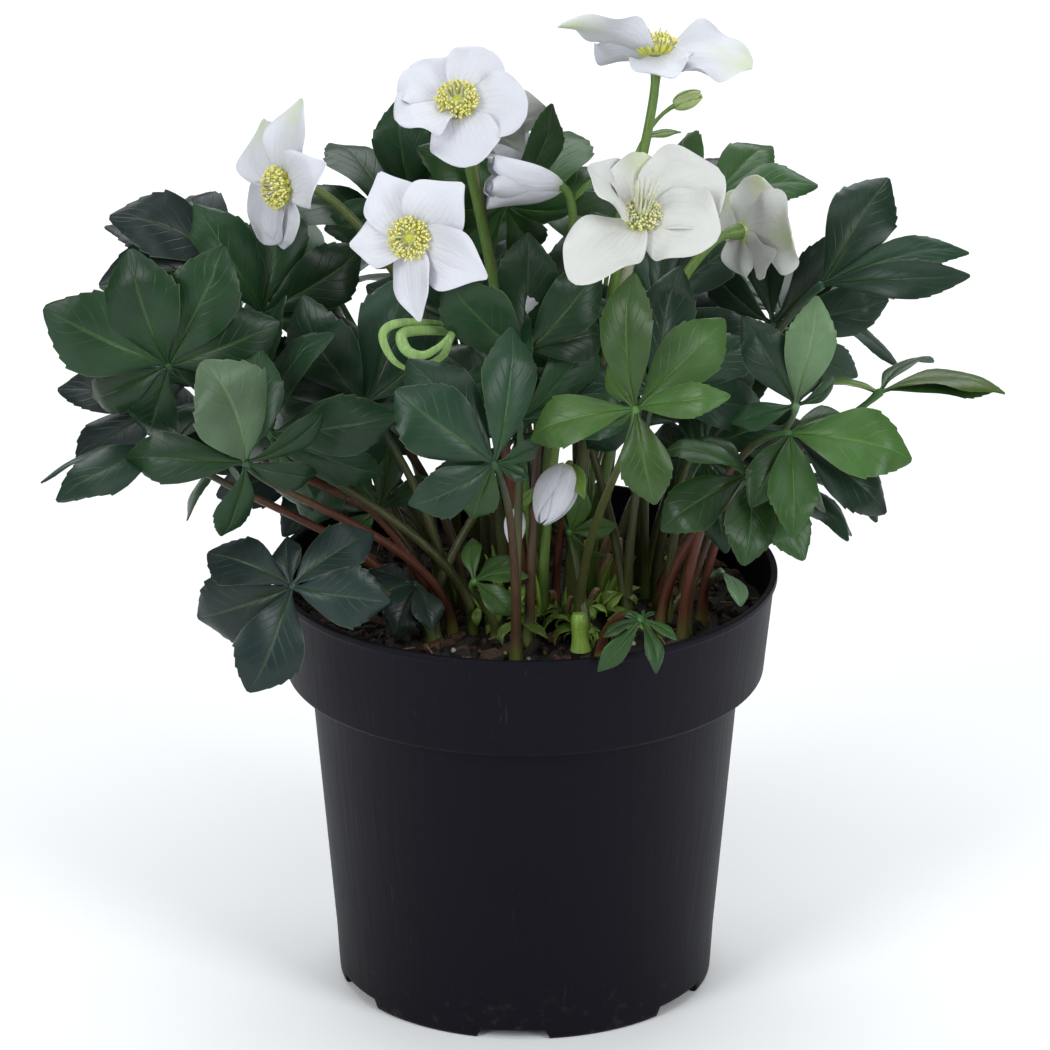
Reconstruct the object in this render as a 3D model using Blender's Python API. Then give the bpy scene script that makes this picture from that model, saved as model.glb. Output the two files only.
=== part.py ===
"""A Christmas rose, Helleborus niger, in flower in a black plastic nursery pot.

Metres, +Z up. The origin is the centre of the pot's underside, on the floor. Azimuths are in
degrees round the pot's axis, 0 at +X and 90 at +Y. The pot, the compost in it and the low
rootstock come first. Flower stalks stand on the rootstock and leaf stalks on the compost round
it. Each compound leaf is one solid: a stalk that ends in a hub, and leaflets fanned round the
hub. Each large bloom is a solid at the tip of its own stalk, and small buds are one with theirs.
"""

import math
from dataclasses import dataclass, replace

import bmesh
import bpy
import numpy as np
from mathutils import Matrix, Vector
from mathutils.bvhtree import BVHTree

# ---- Pot ---------------------------------------------------------------------------------
POT_HEIGHT = 0.197
RIM_RADIUS = 0.115            # outside of the rolled lip
LIP_HEIGHT = 0.0040
LIP_OVERHANG = 0.0014         # lip beyond the band under it
BAND_HEIGHT = 0.0485          # from the top of the lip to the lower edge of the band
BAND_FOOT_RADIUS = 0.1090
SHOULDER_RADIUS = 0.0980      # body just under the band
BASE_RADIUS = 0.0860
WALL = 0.0018
FLOOR_HEIGHT = 0.0065         # underside of the pot's floor
FLOOR_THICK = 0.0022
FOOT_RING_INSIDE = 0.0820
PAD_RADIUS = 0.0220           # foot pad at the middle of the underside
EDGE_ROUND = 0.0015
POT_SIDES = 36
NOTCH_COUNT = 6
NOTCH_AZIMUTH = -93.7         # of the first notch in the foot ring
NOTCH_WIDTH = 0.034
NOTCH_HEIGHT = 0.0048
NOTCH_SLANT = 0.0020
DRAIN_COUNT = 6
DRAIN_RADIUS = 0.0060
DRAIN_RING = 0.0580
DRAIN_SIDES = 8

# ---- Compost and rootstock ---------------------------------------------------------------
GAP = 0.0003                  # between pieces that touch
SOIL_HEIGHT = 0.180
SOIL_DIP = 0.0030             # fall of the surface along the wall
SOIL_DIP_WIDTH = 0.0100
STOCK_CENTRE = (0.012, -0.012)
STOCK_RADIUS = 0.0300
STOCK_TOP_RADIUS = 0.0245
STOCK_HEIGHT = 0.0090
STOCK_SIDES = 20
STOCK_LUMPS = 5
STOCK_LUMP_DEPTH = 0.0016

# ---- Leaves ------------------------------------------------------------------------------
LEAFLET_SIDE_COUNT = 3        # leaflets on each side of the middle one
FAN_STEP = 46.0               # degrees between neighbouring leaflets
SIDE_SHORTENING = (1.0, 0.97, 0.90, 0.76)
BLADE_WIDTH = 0.52            # widest over length
BLADE_WIDEST = 0.62           # share of the length at which it is widest
BLADE_FULLNESS = 1.0
BLADE_STALK = 0.0009          # half width where a leaflet leaves the hub
BLADE_THICK = 0.0012
BLADE_KEEL = 0.10             # how far the midrib lies under the margins, over half the width
BLADE_STAGGER = 7.0           # degrees by which every other leaflet rises more or less
BLADE_RISE = 14.0             # degrees over the leaf's plane at the hub
BLADE_DROOP = 26.0            # degrees under it at the tip
BLADE_STATIONS = (0.0, 0.13, 0.44, 0.76, 1.0)
BLADE_START = 0.0009          # how far from the hub's centre a leaflet starts, inside the hub
LEAF_STALK_RADII = (0.0029, 0.0018)
LEAF_STALK_SIDES = 5
LEAF_STALK_STEPS = 5
LEAF_FEET = (0.0375, 0.0700)  # ring of compost round the rootstock that the leaf stalks stand on
LEAF_SWING = 0.24             # share of its rise over which a leaf stalk turns to its hub
HUB_KNOB = (0.0029, 0.0022)   # radius and half length of the swelling where leaflets join
JITTER_TURN = 5.0
JITTER_LENGTH = 0.06
JITTER_BEND = 2.5
SEED = 1403

# ---- Blooms ------------------------------------------------------------------------------
PETALS = 5
PETAL_WIDTH = 0.88
PETAL_WIDEST = 0.56
PETAL_FULLNESS = 0.62
PETAL_THICK = 0.0009
PETAL_ROOT = 0.0026
PETAL_STATIONS = (0.0, 0.16, 0.50, 0.84, 1.0)
PETAL_CURL = 16.0             # degrees the petal bends back along its length
PETAL_KEEL = 0.09
PETAL_TWIST = 11.0            # degrees that lay one edge over a neighbour and one under
BOSS_PROFILE = ((0.0021, -0.0050), (0.0042, -0.0012), (0.0095, 0.0016), (0.0102, 0.0072),
                (0.0060, 0.0095))
BOSS_SIDES = 8
BLOOM_STALK_RADII = (0.0028, 0.0020)
STALK_SIDES = 6
STALK_STEPS = 6
STOCK_FEET = (0.0040, 0.0205)
STOCK_FEET_REACH = 0.100      # blooms this far out have their feet at the rootstock's edge
BLOOM_SWING = 0.14            # share of its rise over which a flower stalk turns to its bloom
BUD_SWING = 0.16
BUD_SIDES = 6
BUD_STATIONS = (0.0, 0.12, 0.35, 0.62, 0.86, 1.0)

# ---- Room that one piece leaves another --------------------------------------------------
CLEAR = 0.0004
GOLDEN_SHARE = 0.618034
FOOT_SHIFTS = (0, 12, -12, 24, -24, 36, -36, 50, -50, 65, -65, 80, -80)
FOOT_STEPS = (0.0, 0.35, 0.70)
SWING_SCALES = (1.0, 0.6, 1.4)
# Moves of a hub that finds no room: degrees round the axis, metres outward, metres up.
HUB_NUDGES = ((0, 0, 0), (5, 0, 0), (-5, 0, 0), (0, 0, 0.010), (0, 0, -0.010), (0, -0.012, 0),
              (0, 0.010, 0), (9, -0.006, 0.006), (-9, -0.006, 0.006), (9, 0, -0.012), (-9, 0, -0.012))
TURN_SHIFTS = (0, 9, -9, 18, -18)
BEND_SHIFTS = (0, 14, -14, 28, -28)
LENGTH_SCALES = (1.0, 0.86, 0.72)


@dataclass(frozen=True)
class Leaf:
    """Where a compound leaf's hub is, where its middle leaflet points and its face looks."""

    name: str
    azimuth: float
    reach: float
    height: float
    heading: float
    pitch: float
    face: float
    face_rise: float
    length: float
    lost: tuple = ()          # numbers of leaflets that are missing, 0 being the middle one
    spread: float = 1.0       # how wide the fan opens over the usual step


@dataclass(frozen=True)
class Bloom:
    """Where a bloom's centre is, where it faces, how long its petals are and how far they cup."""

    name: str
    azimuth: float
    reach: float
    height: float
    face: float
    face_rise: float
    petal: float
    cup: float
    spin: float


@dataclass(frozen=True)
class Bud:
    """A bud at the tip of its stalk: where its base is, where it points, and its size."""

    name: str
    azimuth: float
    reach: float
    height: float
    heading: float
    pitch: float
    length: float
    width: float


LEAVES = (
    Leaf("leaf_centre_bright", -68, 0.129, 0.318, 60, 74, -90, 30, 0.064),
    Leaf("leaf_left_tall", -156, 0.172, 0.320, -150, 62, -105, 24, 0.066),
    Leaf("leaf_left_low", -156, 0.171, 0.281, 174, 17, -105, 84, 0.064, (2, 3)),
    Leaf("leaf_lower_left", -139, 0.137, 0.223, -144, -57, -105, 28, 0.060, (1,)),
    Leaf("leaf_left_light", -142, 0.156, 0.284, -161, 59, -97, 35, 0.062, (2,)),
    Leaf("leaf_upper_left", 176, 0.132, 0.338, -171, 20, -112, 52, 0.066, (-3,), 0.6),
    Leaf("leaf_upper_right", 0, 0.133, 0.333, -12, 24, -72, 44, 0.074, (-1, -2, -3), 0.5),
    Leaf("leaf_far_right", -4, 0.160, 0.286, -4, 17, -90, 82, 0.062, (-3, -2, -1), 0.5),
    Leaf("leaf_right_low", -32, 0.138, 0.289, -14, -20, -80, 50, 0.066, (3,), 0.66),
    Leaf("leaf_right_upright", -30, 0.138, 0.301, -146, 79, -84, 22, 0.056),
    Leaf("leaf_lower_right", -37, 0.124, 0.270, -107, -30, -84, 30, 0.048),
    Leaf("leaf_mid_front", -97, 0.111, 0.289, 165, 68, -97, 22, 0.062),
    Leaf("leaf_left_upright", -159, 0.126, 0.283, -19, 62, -116, 22, 0.066),
    Leaf("leaf_left_mid", -171, 0.163, 0.283, -174, 13, -135, 66, 0.054),
    Leaf("leaf_front_small", -65, 0.121, 0.215, -51, -45, -80, 30, 0.025),
    Leaf("leaf_top_mid", 104, 0.038, 0.359, 0, 79, -64, 20, 0.052),
    Leaf("leaf_top_left", 130, 0.081, 0.350, 180, 78, -90, 28, 0.052, (1,)),
    Leaf("leaf_top_right", 31, 0.096, 0.354, -4, 20, -70, 60, 0.052, (-1,)),
    Leaf("leaf_mid_high", -90, 0.060, 0.323, -161, 53, -105, 36, 0.056),
    Leaf("leaf_left_inner", 178, 0.119, 0.318, 178, 60, -80, 24, 0.062),
    Leaf("leaf_centre_left", -150, 0.082, 0.292, -178, 64, -100, 30, 0.062),
    Leaf("leaf_right_skirt", -16, 0.111, 0.248, -18, -6, 20, 76, 0.056, (-2, -3, 2, 3), 0.6),
)

# Tiers of leaves behind: count, first azimuth, last azimuth, reach, height, pitch, length.
BACK_TIERS = (
    ("leaf_back_low", 4, 30, 150, 0.140, 0.236, -22, 0.060),
    ("leaf_back_mid", 5, 36, 158, 0.146, 0.290, 10, 0.064),
    ("leaf_back_high", 3, 46, 126, 0.090, 0.336, 34, 0.060),
)
BACK_FACE_RISE = 62.0
BACK_LOST = (-3, 3)
BACK_SPREAD = 1.2

BLOOMS = (
    Bloom("bloom_front_left", -125, 0.086, 0.380, -108, 12, 0.038, 14, 32),
    Bloom("bloom_front_right", -54, 0.086, 0.387, -76, 62, 0.043, 24, 0),
    Bloom("bloom_top_left", 180, 0.030, 0.418, -94, 50, 0.035, 10, -22),
    Bloom("bloom_far_left", -170, 0.108, 0.386, -150, 4, 0.041, 4, -9),
    Bloom("bloom_top_right", 0, 0.058, 0.441, 0, 72, 0.042, 9, 8),
    Bloom("bloom_right", -6, 0.097, 0.362, 35, -5, 0.034, 20, 10),
    Bloom("bloom_behind", 114, 0.048, 0.396, 70, 14, 0.027, 30, 0),
    Bloom("bloom_back_left", 100, 0.130, 0.338, 100, 24, 0.036, 18, 40),
)

BUDS = (
    Bud("bud_half_open", -62, 0.011, 0.383, -172, 8, 0.034, 0.021),
    Bud("bud_hanging", -73, 0.063, 0.268, -130, -50, 0.030, 0.017),
    Bud("bud_low", -95, 0.050, 0.243, -100, -72, 0.017, 0.009),
    Bud("bud_green", 16, 0.071, 0.412, 0, 24, 0.014, 0.009),
    Bud("bud_nodding", -73, 0.042, 0.346, -150, -30, 0.032, 0.022),
)


# ---- Directions and paths ----------------------------------------------------------------
def direction(azimuth, rise):
    """Unit vector at an azimuth and a rise over the level, both in degrees."""
    a = math.radians(azimuth)
    r = math.radians(rise)
    return Vector((math.cos(a) * math.cos(r), math.sin(a) * math.cos(r), math.sin(r)))


def place(azimuth, reach, height):
    """Point at a distance from the pot's axis and a height over the floor."""
    a = math.radians(azimuth)
    return Vector((reach * math.cos(a), reach * math.sin(a), height))


def blade_axes(ahead, face):
    """Middle direction, sideways direction and upper face of a leaf or bloom, squared up."""
    ahead = ahead.normalized()
    face = (face - ahead * face.dot(ahead)).normalized()
    return ahead, face.cross(ahead), face


def bezier(p0, p1, p2, p3, steps):
    """Points along a cubic curve."""
    points = []
    for i in range(steps + 1):
        t = i / steps
        s = 1.0 - t
        points.append(p0 * s**3 + p1 * 3 * s * s * t + p2 * 3 * s * t * t + p3 * t**3)
    return points


def stalk_path(foot, tip, arrival, swing_share, steps):
    """Path that leaves its foot upright and comes into its tip along `arrival`."""
    rise = (tip - foot).length
    swing = arrival * (swing_share * rise)
    climb = Vector((0, 0, 0.45 * max(tip.z - foot.z, 0.4 * rise)))
    return bezier(foot, foot + climb, tip - swing, tip, steps)


# ---- Meshes ------------------------------------------------------------------------------
def loft(rings):
    """Closed mesh through rings of equal size; a ring of one point closes to a tip."""
    bm = bmesh.new()
    made = [[bm.verts.new(point) for point in ring] for ring in rings]
    for low, high in zip(made, made[1:]):
        count = max(len(low), len(high))
        for i in range(count):
            j = (i + 1) % count
            corners = [low[i % len(low)], low[j % len(low)], high[j % len(high)], high[i % len(high)]]
            bm.faces.new(list(dict.fromkeys(corners)))
    for ring, backwards in ((made[0], True), (made[-1], False)):
        if len(ring) > 1:
            bm.faces.new(ring[::-1] if backwards else ring)
    bmesh.ops.recalc_face_normals(bm, faces=bm.faces)
    return bm


def tube(path, radii, sides, end, grow=0.0, knob=None):
    """Round tapering limb along a path, its first ring level and its last square to `end`.

    A knob, given as its radius and half length, is a swelling round the path's last point.
    """
    rings = []
    side = Vector((1, 0, 0))
    last = len(path) - 1
    for i, point in enumerate(path):
        along = (path[min(i + 1, last)] - path[max(i - 1, 0)]).normalized()
        if i == 0:
            along = Vector((0, 0, 1))
        if i == last:
            along = end
        side = (side - along * side.dot(along)).normalized()
        across = along.cross(side)
        radius = radii[0] + (radii[1] - radii[0]) * i / last
        spots = [(point, radius)]
        if i == last and knob:
            spots = [(point - end * knob[1], radius), (point, knob[0]), (point + end * knob[1], radius)]
        for centre, size in spots:
            turns = [2 * math.pi * k / sides for k in range(sides)]
            rings.append([centre + (side * math.cos(a) + across * math.sin(a)) * (size + grow)
                          for a in turns])
    return loft(rings)


def outline(t, widest, fullness):
    """Half width of a blade over its widest half width, at a share `t` of its length."""
    power = math.log(0.5) / math.log(widest)
    return math.sin(math.pi * t**power) ** fullness


def midline(hub, ahead, face, length, rise, droop, stations):
    """Points and local faces along a blade that leaves at `rise` and bends to `-droop`."""
    points = []
    faces = []
    fine = 24
    point = hub.copy()
    at = 0
    for i in range(fine + 1):
        t = i / fine
        if at < len(stations) and t + 1e-9 >= stations[at]:
            angle = math.radians(rise - (rise + droop) * stations[at])
            points.append(point + (ahead * math.cos(angle) + face * math.sin(angle))
                          * (stations[at] - t) * length)
            faces.append(face * math.cos(angle) - ahead * math.sin(angle))
            at += 1
        bend = math.radians(rise - (rise + droop) * (t + 0.5 / fine))
        point = point + (ahead * math.cos(bend) + face * math.sin(bend)) * (length / fine)
    return points, faces


def leaflet(hub, ahead, face, length, rise, droop, grow=0.0):
    """Leaflet: a keeled blade, three-sided in section, narrow at the hub and full near its tip."""
    side = face.cross(ahead)
    start = hub + ahead * BLADE_START
    points, faces = midline(start, ahead, face, length, rise, droop, BLADE_STATIONS)
    rings = []
    for t, point, up in zip(BLADE_STATIONS, points, faces):
        if t >= 1.0:
            rings.append([point])
            continue
        half = max(BLADE_STALK, 0.5 * BLADE_WIDTH * length * outline(t, BLADE_WIDEST, BLADE_FULLNESS))
        keel = max(BLADE_THICK, BLADE_KEEL * half)
        top = point + up * (0.4 * keel + grow)
        reach = side * (half + 1.5 * grow)
        rings.append([top + reach, top - reach, point - up * (0.6 * keel + grow)])
    return loft(rings)


def petal(centre, ahead, face, length, cup):
    """Petal: a broad blade, three-sided in section, that rises at `cup` from the bloom's plane."""
    side = Matrix.Rotation(math.radians(PETAL_TWIST), 3, ahead) @ face.cross(ahead)
    points, faces = midline(centre, ahead, face, length, cup, PETAL_CURL - cup, PETAL_STATIONS)
    rings = []
    for t, point, up in zip(PETAL_STATIONS, points, faces):
        if t >= 1.0:
            rings.append([point])
            continue
        half = max(PETAL_ROOT, 0.5 * PETAL_WIDTH * length * outline(t, PETAL_WIDEST, PETAL_FULLNESS))
        keel = max(PETAL_THICK, PETAL_KEEL * half)
        top = point + up * (0.4 * keel)
        rings.append([top + side * half, top - side * half, point - up * (0.6 * keel)])
    return loft(rings)


def boss(centre, ahead, side, face):
    """Neck, cup and cushion of stamens of a bloom, turned round its axis."""
    rings = []
    for radius, height in BOSS_PROFILE:
        turns = [2 * math.pi * k / BOSS_SIDES for k in range(BOSS_SIDES)]
        rings.append([centre + face * height + (ahead * math.cos(a) + side * math.sin(a)) * radius
                      for a in turns])
    return loft(rings)


def bud_shell(base, ahead, side, face, length, width):
    """Closed egg-shaped bud."""
    rings = []
    for t in BUD_STATIONS:
        centre = base + ahead * (length * t)
        if t >= 1.0:
            rings.append([centre])
            continue
        half = max(0.0016, 0.5 * width * outline(t, 0.45, 0.75))
        turns = [2 * math.pi * k / BUD_SIDES for k in range(BUD_SIDES)]
        rings.append([centre + (side * math.cos(a) + face * math.sin(a)) * half for a in turns])
    return loft(rings)


def turned(profile, sides, centre=(0.0, 0.0)):
    """Solid turned round +Z from an open profile that starts and ends on the axis."""
    bm = bmesh.new()
    verts = [bm.verts.new((radius, 0, height)) for radius, height in profile]
    edges = [bm.edges.new(pair) for pair in zip(verts, verts[1:])]
    bmesh.ops.spin(bm, geom=verts + edges, cent=(0, 0, 0), axis=(0, 0, 1), angle=2 * math.pi,
                   steps=sides, use_merge=True)
    bmesh.ops.remove_doubles(bm, verts=bm.verts, dist=1e-6)
    bmesh.ops.recalc_face_normals(bm, faces=bm.faces)
    bmesh.ops.translate(bm, verts=bm.verts, vec=(centre[0], centre[1], 0))
    return bm


# ---- Materials and objects ---------------------------------------------------------------
def finish(name, colour, roughness):
    """Principled material of one colour and roughness."""
    material = bpy.data.materials.new(name)
    material.use_nodes = True
    shader = material.node_tree.nodes["Principled BSDF"]
    shader.inputs["Base Color"].default_value = (*colour, 1.0)
    shader.inputs["Roughness"].default_value = roughness
    shader.inputs["Metallic"].default_value = 0.0
    return material


def add(name, bm, material, smooth=False):
    """Object in the scene from a bmesh, which it frees."""
    mesh = bpy.data.meshes.new(name)
    bm.to_mesh(mesh)
    bm.free()
    if smooth:
        mesh.shade_smooth()
        mesh.set_sharp_from_angle(angle=math.radians(35))
    thing = bpy.data.objects.new(name, mesh)
    thing.data.materials.append(material)
    bpy.context.scene.collection.objects.link(thing)
    return thing


def settle(thing, modifier):
    """Applies a Boolean, and removes the pieces it used."""
    bpy.context.view_layer.update()
    graph = bpy.context.evaluated_depsgraph_get()
    result = bpy.data.meshes.new_from_object(thing.evaluated_get(graph), depsgraph=graph)
    pieces = modifier.collection
    thing.modifiers.remove(modifier)
    spent = thing.data
    name = spent.name
    thing.data = result
    bpy.data.meshes.remove(spent)
    result.name = name
    for piece in list(pieces.objects):
        bpy.data.objects.remove(piece, do_unlink=True)
    bpy.data.collections.remove(pieces)


def combine(thing, shells, operation):
    """Joins to an object, or cuts from it, all the given closed shells in one Boolean."""
    pieces = bpy.data.collections.new(thing.name + "_pieces")
    bpy.context.scene.collection.children.link(pieces)
    for i, bm in enumerate(shells):
        mesh = bpy.data.meshes.new(f"{thing.name}_piece_{i}")
        bm.to_mesh(mesh)
        bm.free()
        piece = bpy.data.objects.new(mesh.name, mesh)
        piece.hide_render = True
        piece.display_type = "WIRE"
        pieces.objects.link(piece)
    modifier = thing.modifiers.new("combine", "BOOLEAN")
    modifier.operation = operation
    modifier.operand_type = "COLLECTION"
    modifier.collection = pieces
    modifier.solver = "EXACT"
    settle(thing, modifier)


class Room:
    """The space already taken, which later pieces keep clear of."""

    def __init__(self):
        self.trees = {}

    def take(self, name, bm):
        """Sets a mesh as the space that a piece takes; frees the mesh."""
        self.trees[name] = BVHTree.FromBMesh(bm)
        bm.free()

    def take_object(self, thing):
        """Sets an object's mesh as the space that it takes."""
        bm = bmesh.new()
        bm.from_mesh(thing.data)
        self.take(thing.name, bm)

    def clear_of(self, bm, own=None):
        """Whether a mesh touches nothing that is taken but its own piece; frees the mesh."""
        tree = BVHTree.FromBMesh(bm)
        bm.free()
        return not any(tree.overlap(other) for name, other in self.trees.items() if name != own)


# ---- Pot, compost and rootstock ----------------------------------------------------------
def inner_wall(gap):
    """Profile of the pot's inside from its floor's rim to its mouth, moved inward by `gap`."""
    step = POT_HEIGHT - BAND_HEIGHT
    floor = FLOOR_HEIGHT + FLOOR_THICK
    return [
        (BASE_RADIUS - WALL - gap, floor + gap),
        (SHOULDER_RADIUS - WALL - gap, step - 0.0005),
        (BAND_FOOT_RADIUS - WALL - gap, step + 0.0025),
        (RIM_RADIUS - LIP_OVERHANG - WALL - gap, POT_HEIGHT - 0.0010),
    ]


def make_pot(material):
    """Pot with a banded rim, a notched foot ring, a middle foot pad and drain holes."""
    step = POT_HEIGHT - BAND_HEIGHT
    floor = FLOOR_HEIGHT + FLOOR_THICK
    band_top = RIM_RADIUS - LIP_OVERHANG
    inside = inner_wall(0.0)
    outside = [
        (band_top - WALL + 0.0008, POT_HEIGHT),
        (RIM_RADIUS - 0.0008, POT_HEIGHT),
        (RIM_RADIUS, POT_HEIGHT - 0.0009),
        (RIM_RADIUS, POT_HEIGHT - LIP_HEIGHT + 0.0006),
        (band_top, POT_HEIGHT - LIP_HEIGHT),
        (BAND_FOOT_RADIUS, step + EDGE_ROUND),
        (BAND_FOOT_RADIUS - EDGE_ROUND, step),
        (SHOULDER_RADIUS, step - 0.0012),
        (BASE_RADIUS, FLOOR_HEIGHT),
        (BASE_RADIUS - 0.0004, EDGE_ROUND),
        (BASE_RADIUS - 0.0004 - EDGE_ROUND * 0.7, 0.0),
        (FOOT_RING_INSIDE, 0.0),
        (FOOT_RING_INSIDE - 0.0006, FLOOR_HEIGHT),
        (PAD_RADIUS + 0.0012, FLOOR_HEIGHT),
        (PAD_RADIUS, 0.0),
        (0.0, 0.0),
    ]
    pot = add("pot", turned([(0.0, floor)] + inside + outside, POT_SIDES), material)
    cutters = []
    for i in range(NOTCH_COUNT):
        turn = Matrix.Rotation(math.radians(NOTCH_AZIMUTH + 360.0 * i / NOTCH_COUNT), 4, "Z")
        half = 0.5 * NOTCH_WIDTH
        inner = FOOT_RING_INSIDE - 0.004
        outer = BASE_RADIUS + 0.004
        rings = []
        for radius in (inner, outer):
            rings.append([turn @ Vector((radius, -half, -0.001)), turn @ Vector((radius, half, -0.001)),
                          turn @ Vector((radius, half - NOTCH_SLANT, NOTCH_HEIGHT)),
                          turn @ Vector((radius, NOTCH_SLANT - half, NOTCH_HEIGHT))])
        cutters.append(loft(rings))
    for i in range(DRAIN_COUNT):
        angle = math.radians(NOTCH_AZIMUTH + 360.0 * (i + 0.5) / DRAIN_COUNT)
        drill = bmesh.new()
        bmesh.ops.create_cone(drill, cap_ends=True, segments=DRAIN_SIDES, radius1=DRAIN_RADIUS,
                              radius2=DRAIN_RADIUS, depth=4 * FLOOR_THICK)
        middle = (DRAIN_RING * math.cos(angle), DRAIN_RING * math.sin(angle),
                  FLOOR_HEIGHT + 0.5 * FLOOR_THICK)
        bmesh.ops.translate(drill, verts=drill.verts, vec=middle)
        cutters.append(drill)
    combine(pot, cutters, "DIFFERENCE")
    pot.data.shade_smooth()
    pot.data.set_sharp_from_angle(angle=math.radians(35))
    return pot


def make_compost(material):
    """Compost that fills the pot to a little under its rim."""
    inside = inner_wall(GAP)
    low, shoulder, band_foot, mouth = inside
    share = (SOIL_HEIGHT - SOIL_DIP - band_foot[1]) / (mouth[1] - band_foot[1])
    edge = band_foot[0] + (mouth[0] - band_foot[0]) * share
    profile = [
        (0.0, low[1]),
        low,
        shoulder,
        band_foot,
        (edge, SOIL_HEIGHT - SOIL_DIP),
        (edge - SOIL_DIP_WIDTH, SOIL_HEIGHT),
        (0.0, SOIL_HEIGHT),
    ]
    return add("compost", turned(profile, POT_SIDES), material, smooth=True)


def make_rootstock(material):
    """Low lumpy rootstock on the compost, with a level top."""
    rings = []
    base = SOIL_HEIGHT + GAP
    for radius, height in ((STOCK_RADIUS, base), (STOCK_RADIUS - 0.001, base + 0.5 * STOCK_HEIGHT),
                           (STOCK_TOP_RADIUS, base + STOCK_HEIGHT)):
        ring = []
        for k in range(STOCK_SIDES):
            angle = 2 * math.pi * k / STOCK_SIDES
            lump = STOCK_LUMP_DEPTH * math.sin(STOCK_LUMPS * angle)
            ring.append(Vector((STOCK_CENTRE[0] + (radius + lump) * math.cos(angle),
                                STOCK_CENTRE[1] + (radius + lump) * math.sin(angle), height)))
        rings.append(ring)
    return add("rootstock", loft(rings), material, smooth=True)


# ---- Stalks, blooms and leaves -----------------------------------------------------------
def foot_points(azimuth, share, ring, height):
    """Feet to try for a stalk: first the one nearest its tip's azimuth, then others beside it."""
    for shift in FOOT_SHIFTS:
        angle = math.radians(azimuth + shift)
        for step in FOOT_STEPS:
            radius = ring[0] + (ring[1] - ring[0]) * ((share + step) % 1.0)
            yield Vector((STOCK_CENTRE[0] + radius * math.cos(angle),
                          STOCK_CENTRE[1] + radius * math.sin(angle), height))


def find_stalk(room, feet, tip, arrival, swing, radii, sides, steps):
    """First stalk that keeps clear of everything else."""
    for foot in feet:
        for ease in SWING_SCALES:
            path = stalk_path(foot, tip, arrival, swing * ease, steps)
            if room.clear_of(tube(path, radii, sides, arrival, CLEAR)):
                return path
    return None


def bearing(point):
    """Azimuth of a point round the rootstock's centre."""
    return math.degrees(math.atan2(point.y - STOCK_CENTRE[1], point.x - STOCK_CENTRE[0]))


def stock_feet(tip):
    """Feet on the rootstock for a flower stalk."""
    away = math.hypot(tip.x - STOCK_CENTRE[0], tip.y - STOCK_CENTRE[1])
    return foot_points(bearing(tip), min(0.99, away / STOCK_FEET_REACH), STOCK_FEET,
                       SOIL_HEIGHT + 2 * GAP + STOCK_HEIGHT)


def compost_feet(tip, number):
    """Feet on the compost for a leaf stalk."""
    return foot_points(bearing(tip), number * GOLDEN_SHARE, LEAF_FEET, SOIL_HEIGHT + GAP)


def make_bloom(bloom, room, petal_finish, stalk_finish):
    """Bloom and the stalk under it, as two solids."""
    centre = place(bloom.azimuth, bloom.reach, bloom.height)
    face = direction(bloom.face, bloom.face_rise)
    upward = Vector((0, 0, 1)) if abs(face.z) < 0.95 else Vector((0, 1, 0))
    top, side, _ = blade_axes(upward - face * upward.dot(face), face)
    head = add(bloom.name, boss(centre, top, side, face), petal_finish)
    shells = []
    for k in range(PETALS):
        turn = Matrix.Rotation(math.radians(bloom.spin + 360.0 * k / PETALS), 3, face)
        shells.append(petal(centre, turn @ top, face, bloom.petal, bloom.cup))
    combine(head, shells, "UNION")
    room.take_object(head)
    neck = centre + face * (BOSS_PROFILE[0][1] - GAP)
    path = find_stalk(room, stock_feet(neck), neck, face, BLOOM_SWING,
                      BLOOM_STALK_RADII, STALK_SIDES, STALK_STEPS)
    shell = tube(path, BLOOM_STALK_RADII, STALK_SIDES, face)
    room.take_object(add(bloom.name.replace("bloom", "stalk"), shell, stalk_finish, smooth=True))


def make_bud(bud, room, bud_finish):
    """Bud and its stalk, fused."""
    base = place(bud.azimuth, bud.reach, bud.height)
    ahead, side, face = blade_axes(direction(bud.heading, bud.pitch), Vector((0, 0, 1)))
    path = find_stalk(room, stock_feet(base), base, ahead, BUD_SWING, BLOOM_STALK_RADII,
                      STALK_SIDES, STALK_STEPS)
    thing = add(bud.name, tube(path, BLOOM_STALK_RADII, STALK_SIDES, ahead), bud_finish)
    combine(thing, [bud_shell(base - ahead * 0.002, ahead, side, face, bud.length, bud.width)], "UNION")
    room.take_object(thing)


def leaf_arrival(ahead, face):
    """Direction in which a leaf stalk comes into its hub, from behind and below the blade."""
    return (ahead + face * 0.6).normalized()


def leaf_limb(path, arrival):
    """A leaf's stalk with the hub at its tip."""
    return tube(path, LEAF_STALK_RADII, LEAF_STALK_SIDES, arrival, knob=HUB_KNOB)


def leaflet_choices(leaf, number, k):
    """Ways to set one leaflet, best first: turn in the fan, bend and length."""
    dice = np.random.default_rng([SEED, number, k + 8])
    turn, stretch, bend = dice.uniform(-1, 1, 3)
    angle = FAN_STEP * leaf.spread * k + JITTER_TURN * turn
    rise = BLADE_RISE + BLADE_STAGGER * (-1) ** k + JITTER_BEND * bend
    length = leaf.length * SIDE_SHORTENING[abs(k)] * (1 + JITTER_LENGTH * stretch)
    for scale in LENGTH_SCALES:
        for bend_shift in BEND_SHIFTS:
            for turn_shift in TURN_SHIFTS:
                yield (angle + turn_shift, rise + bend_shift,
                       BLADE_DROOP - 0.5 * bend_shift, length * scale)


def leaf_frame(leaf):
    """Hub and axes of a leaf."""
    hub = place(leaf.azimuth, leaf.reach, leaf.height)
    ahead, side, face = blade_axes(direction(leaf.heading, leaf.pitch), direction(leaf.face, leaf.face_rise))
    return hub, ahead, side, face


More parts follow.
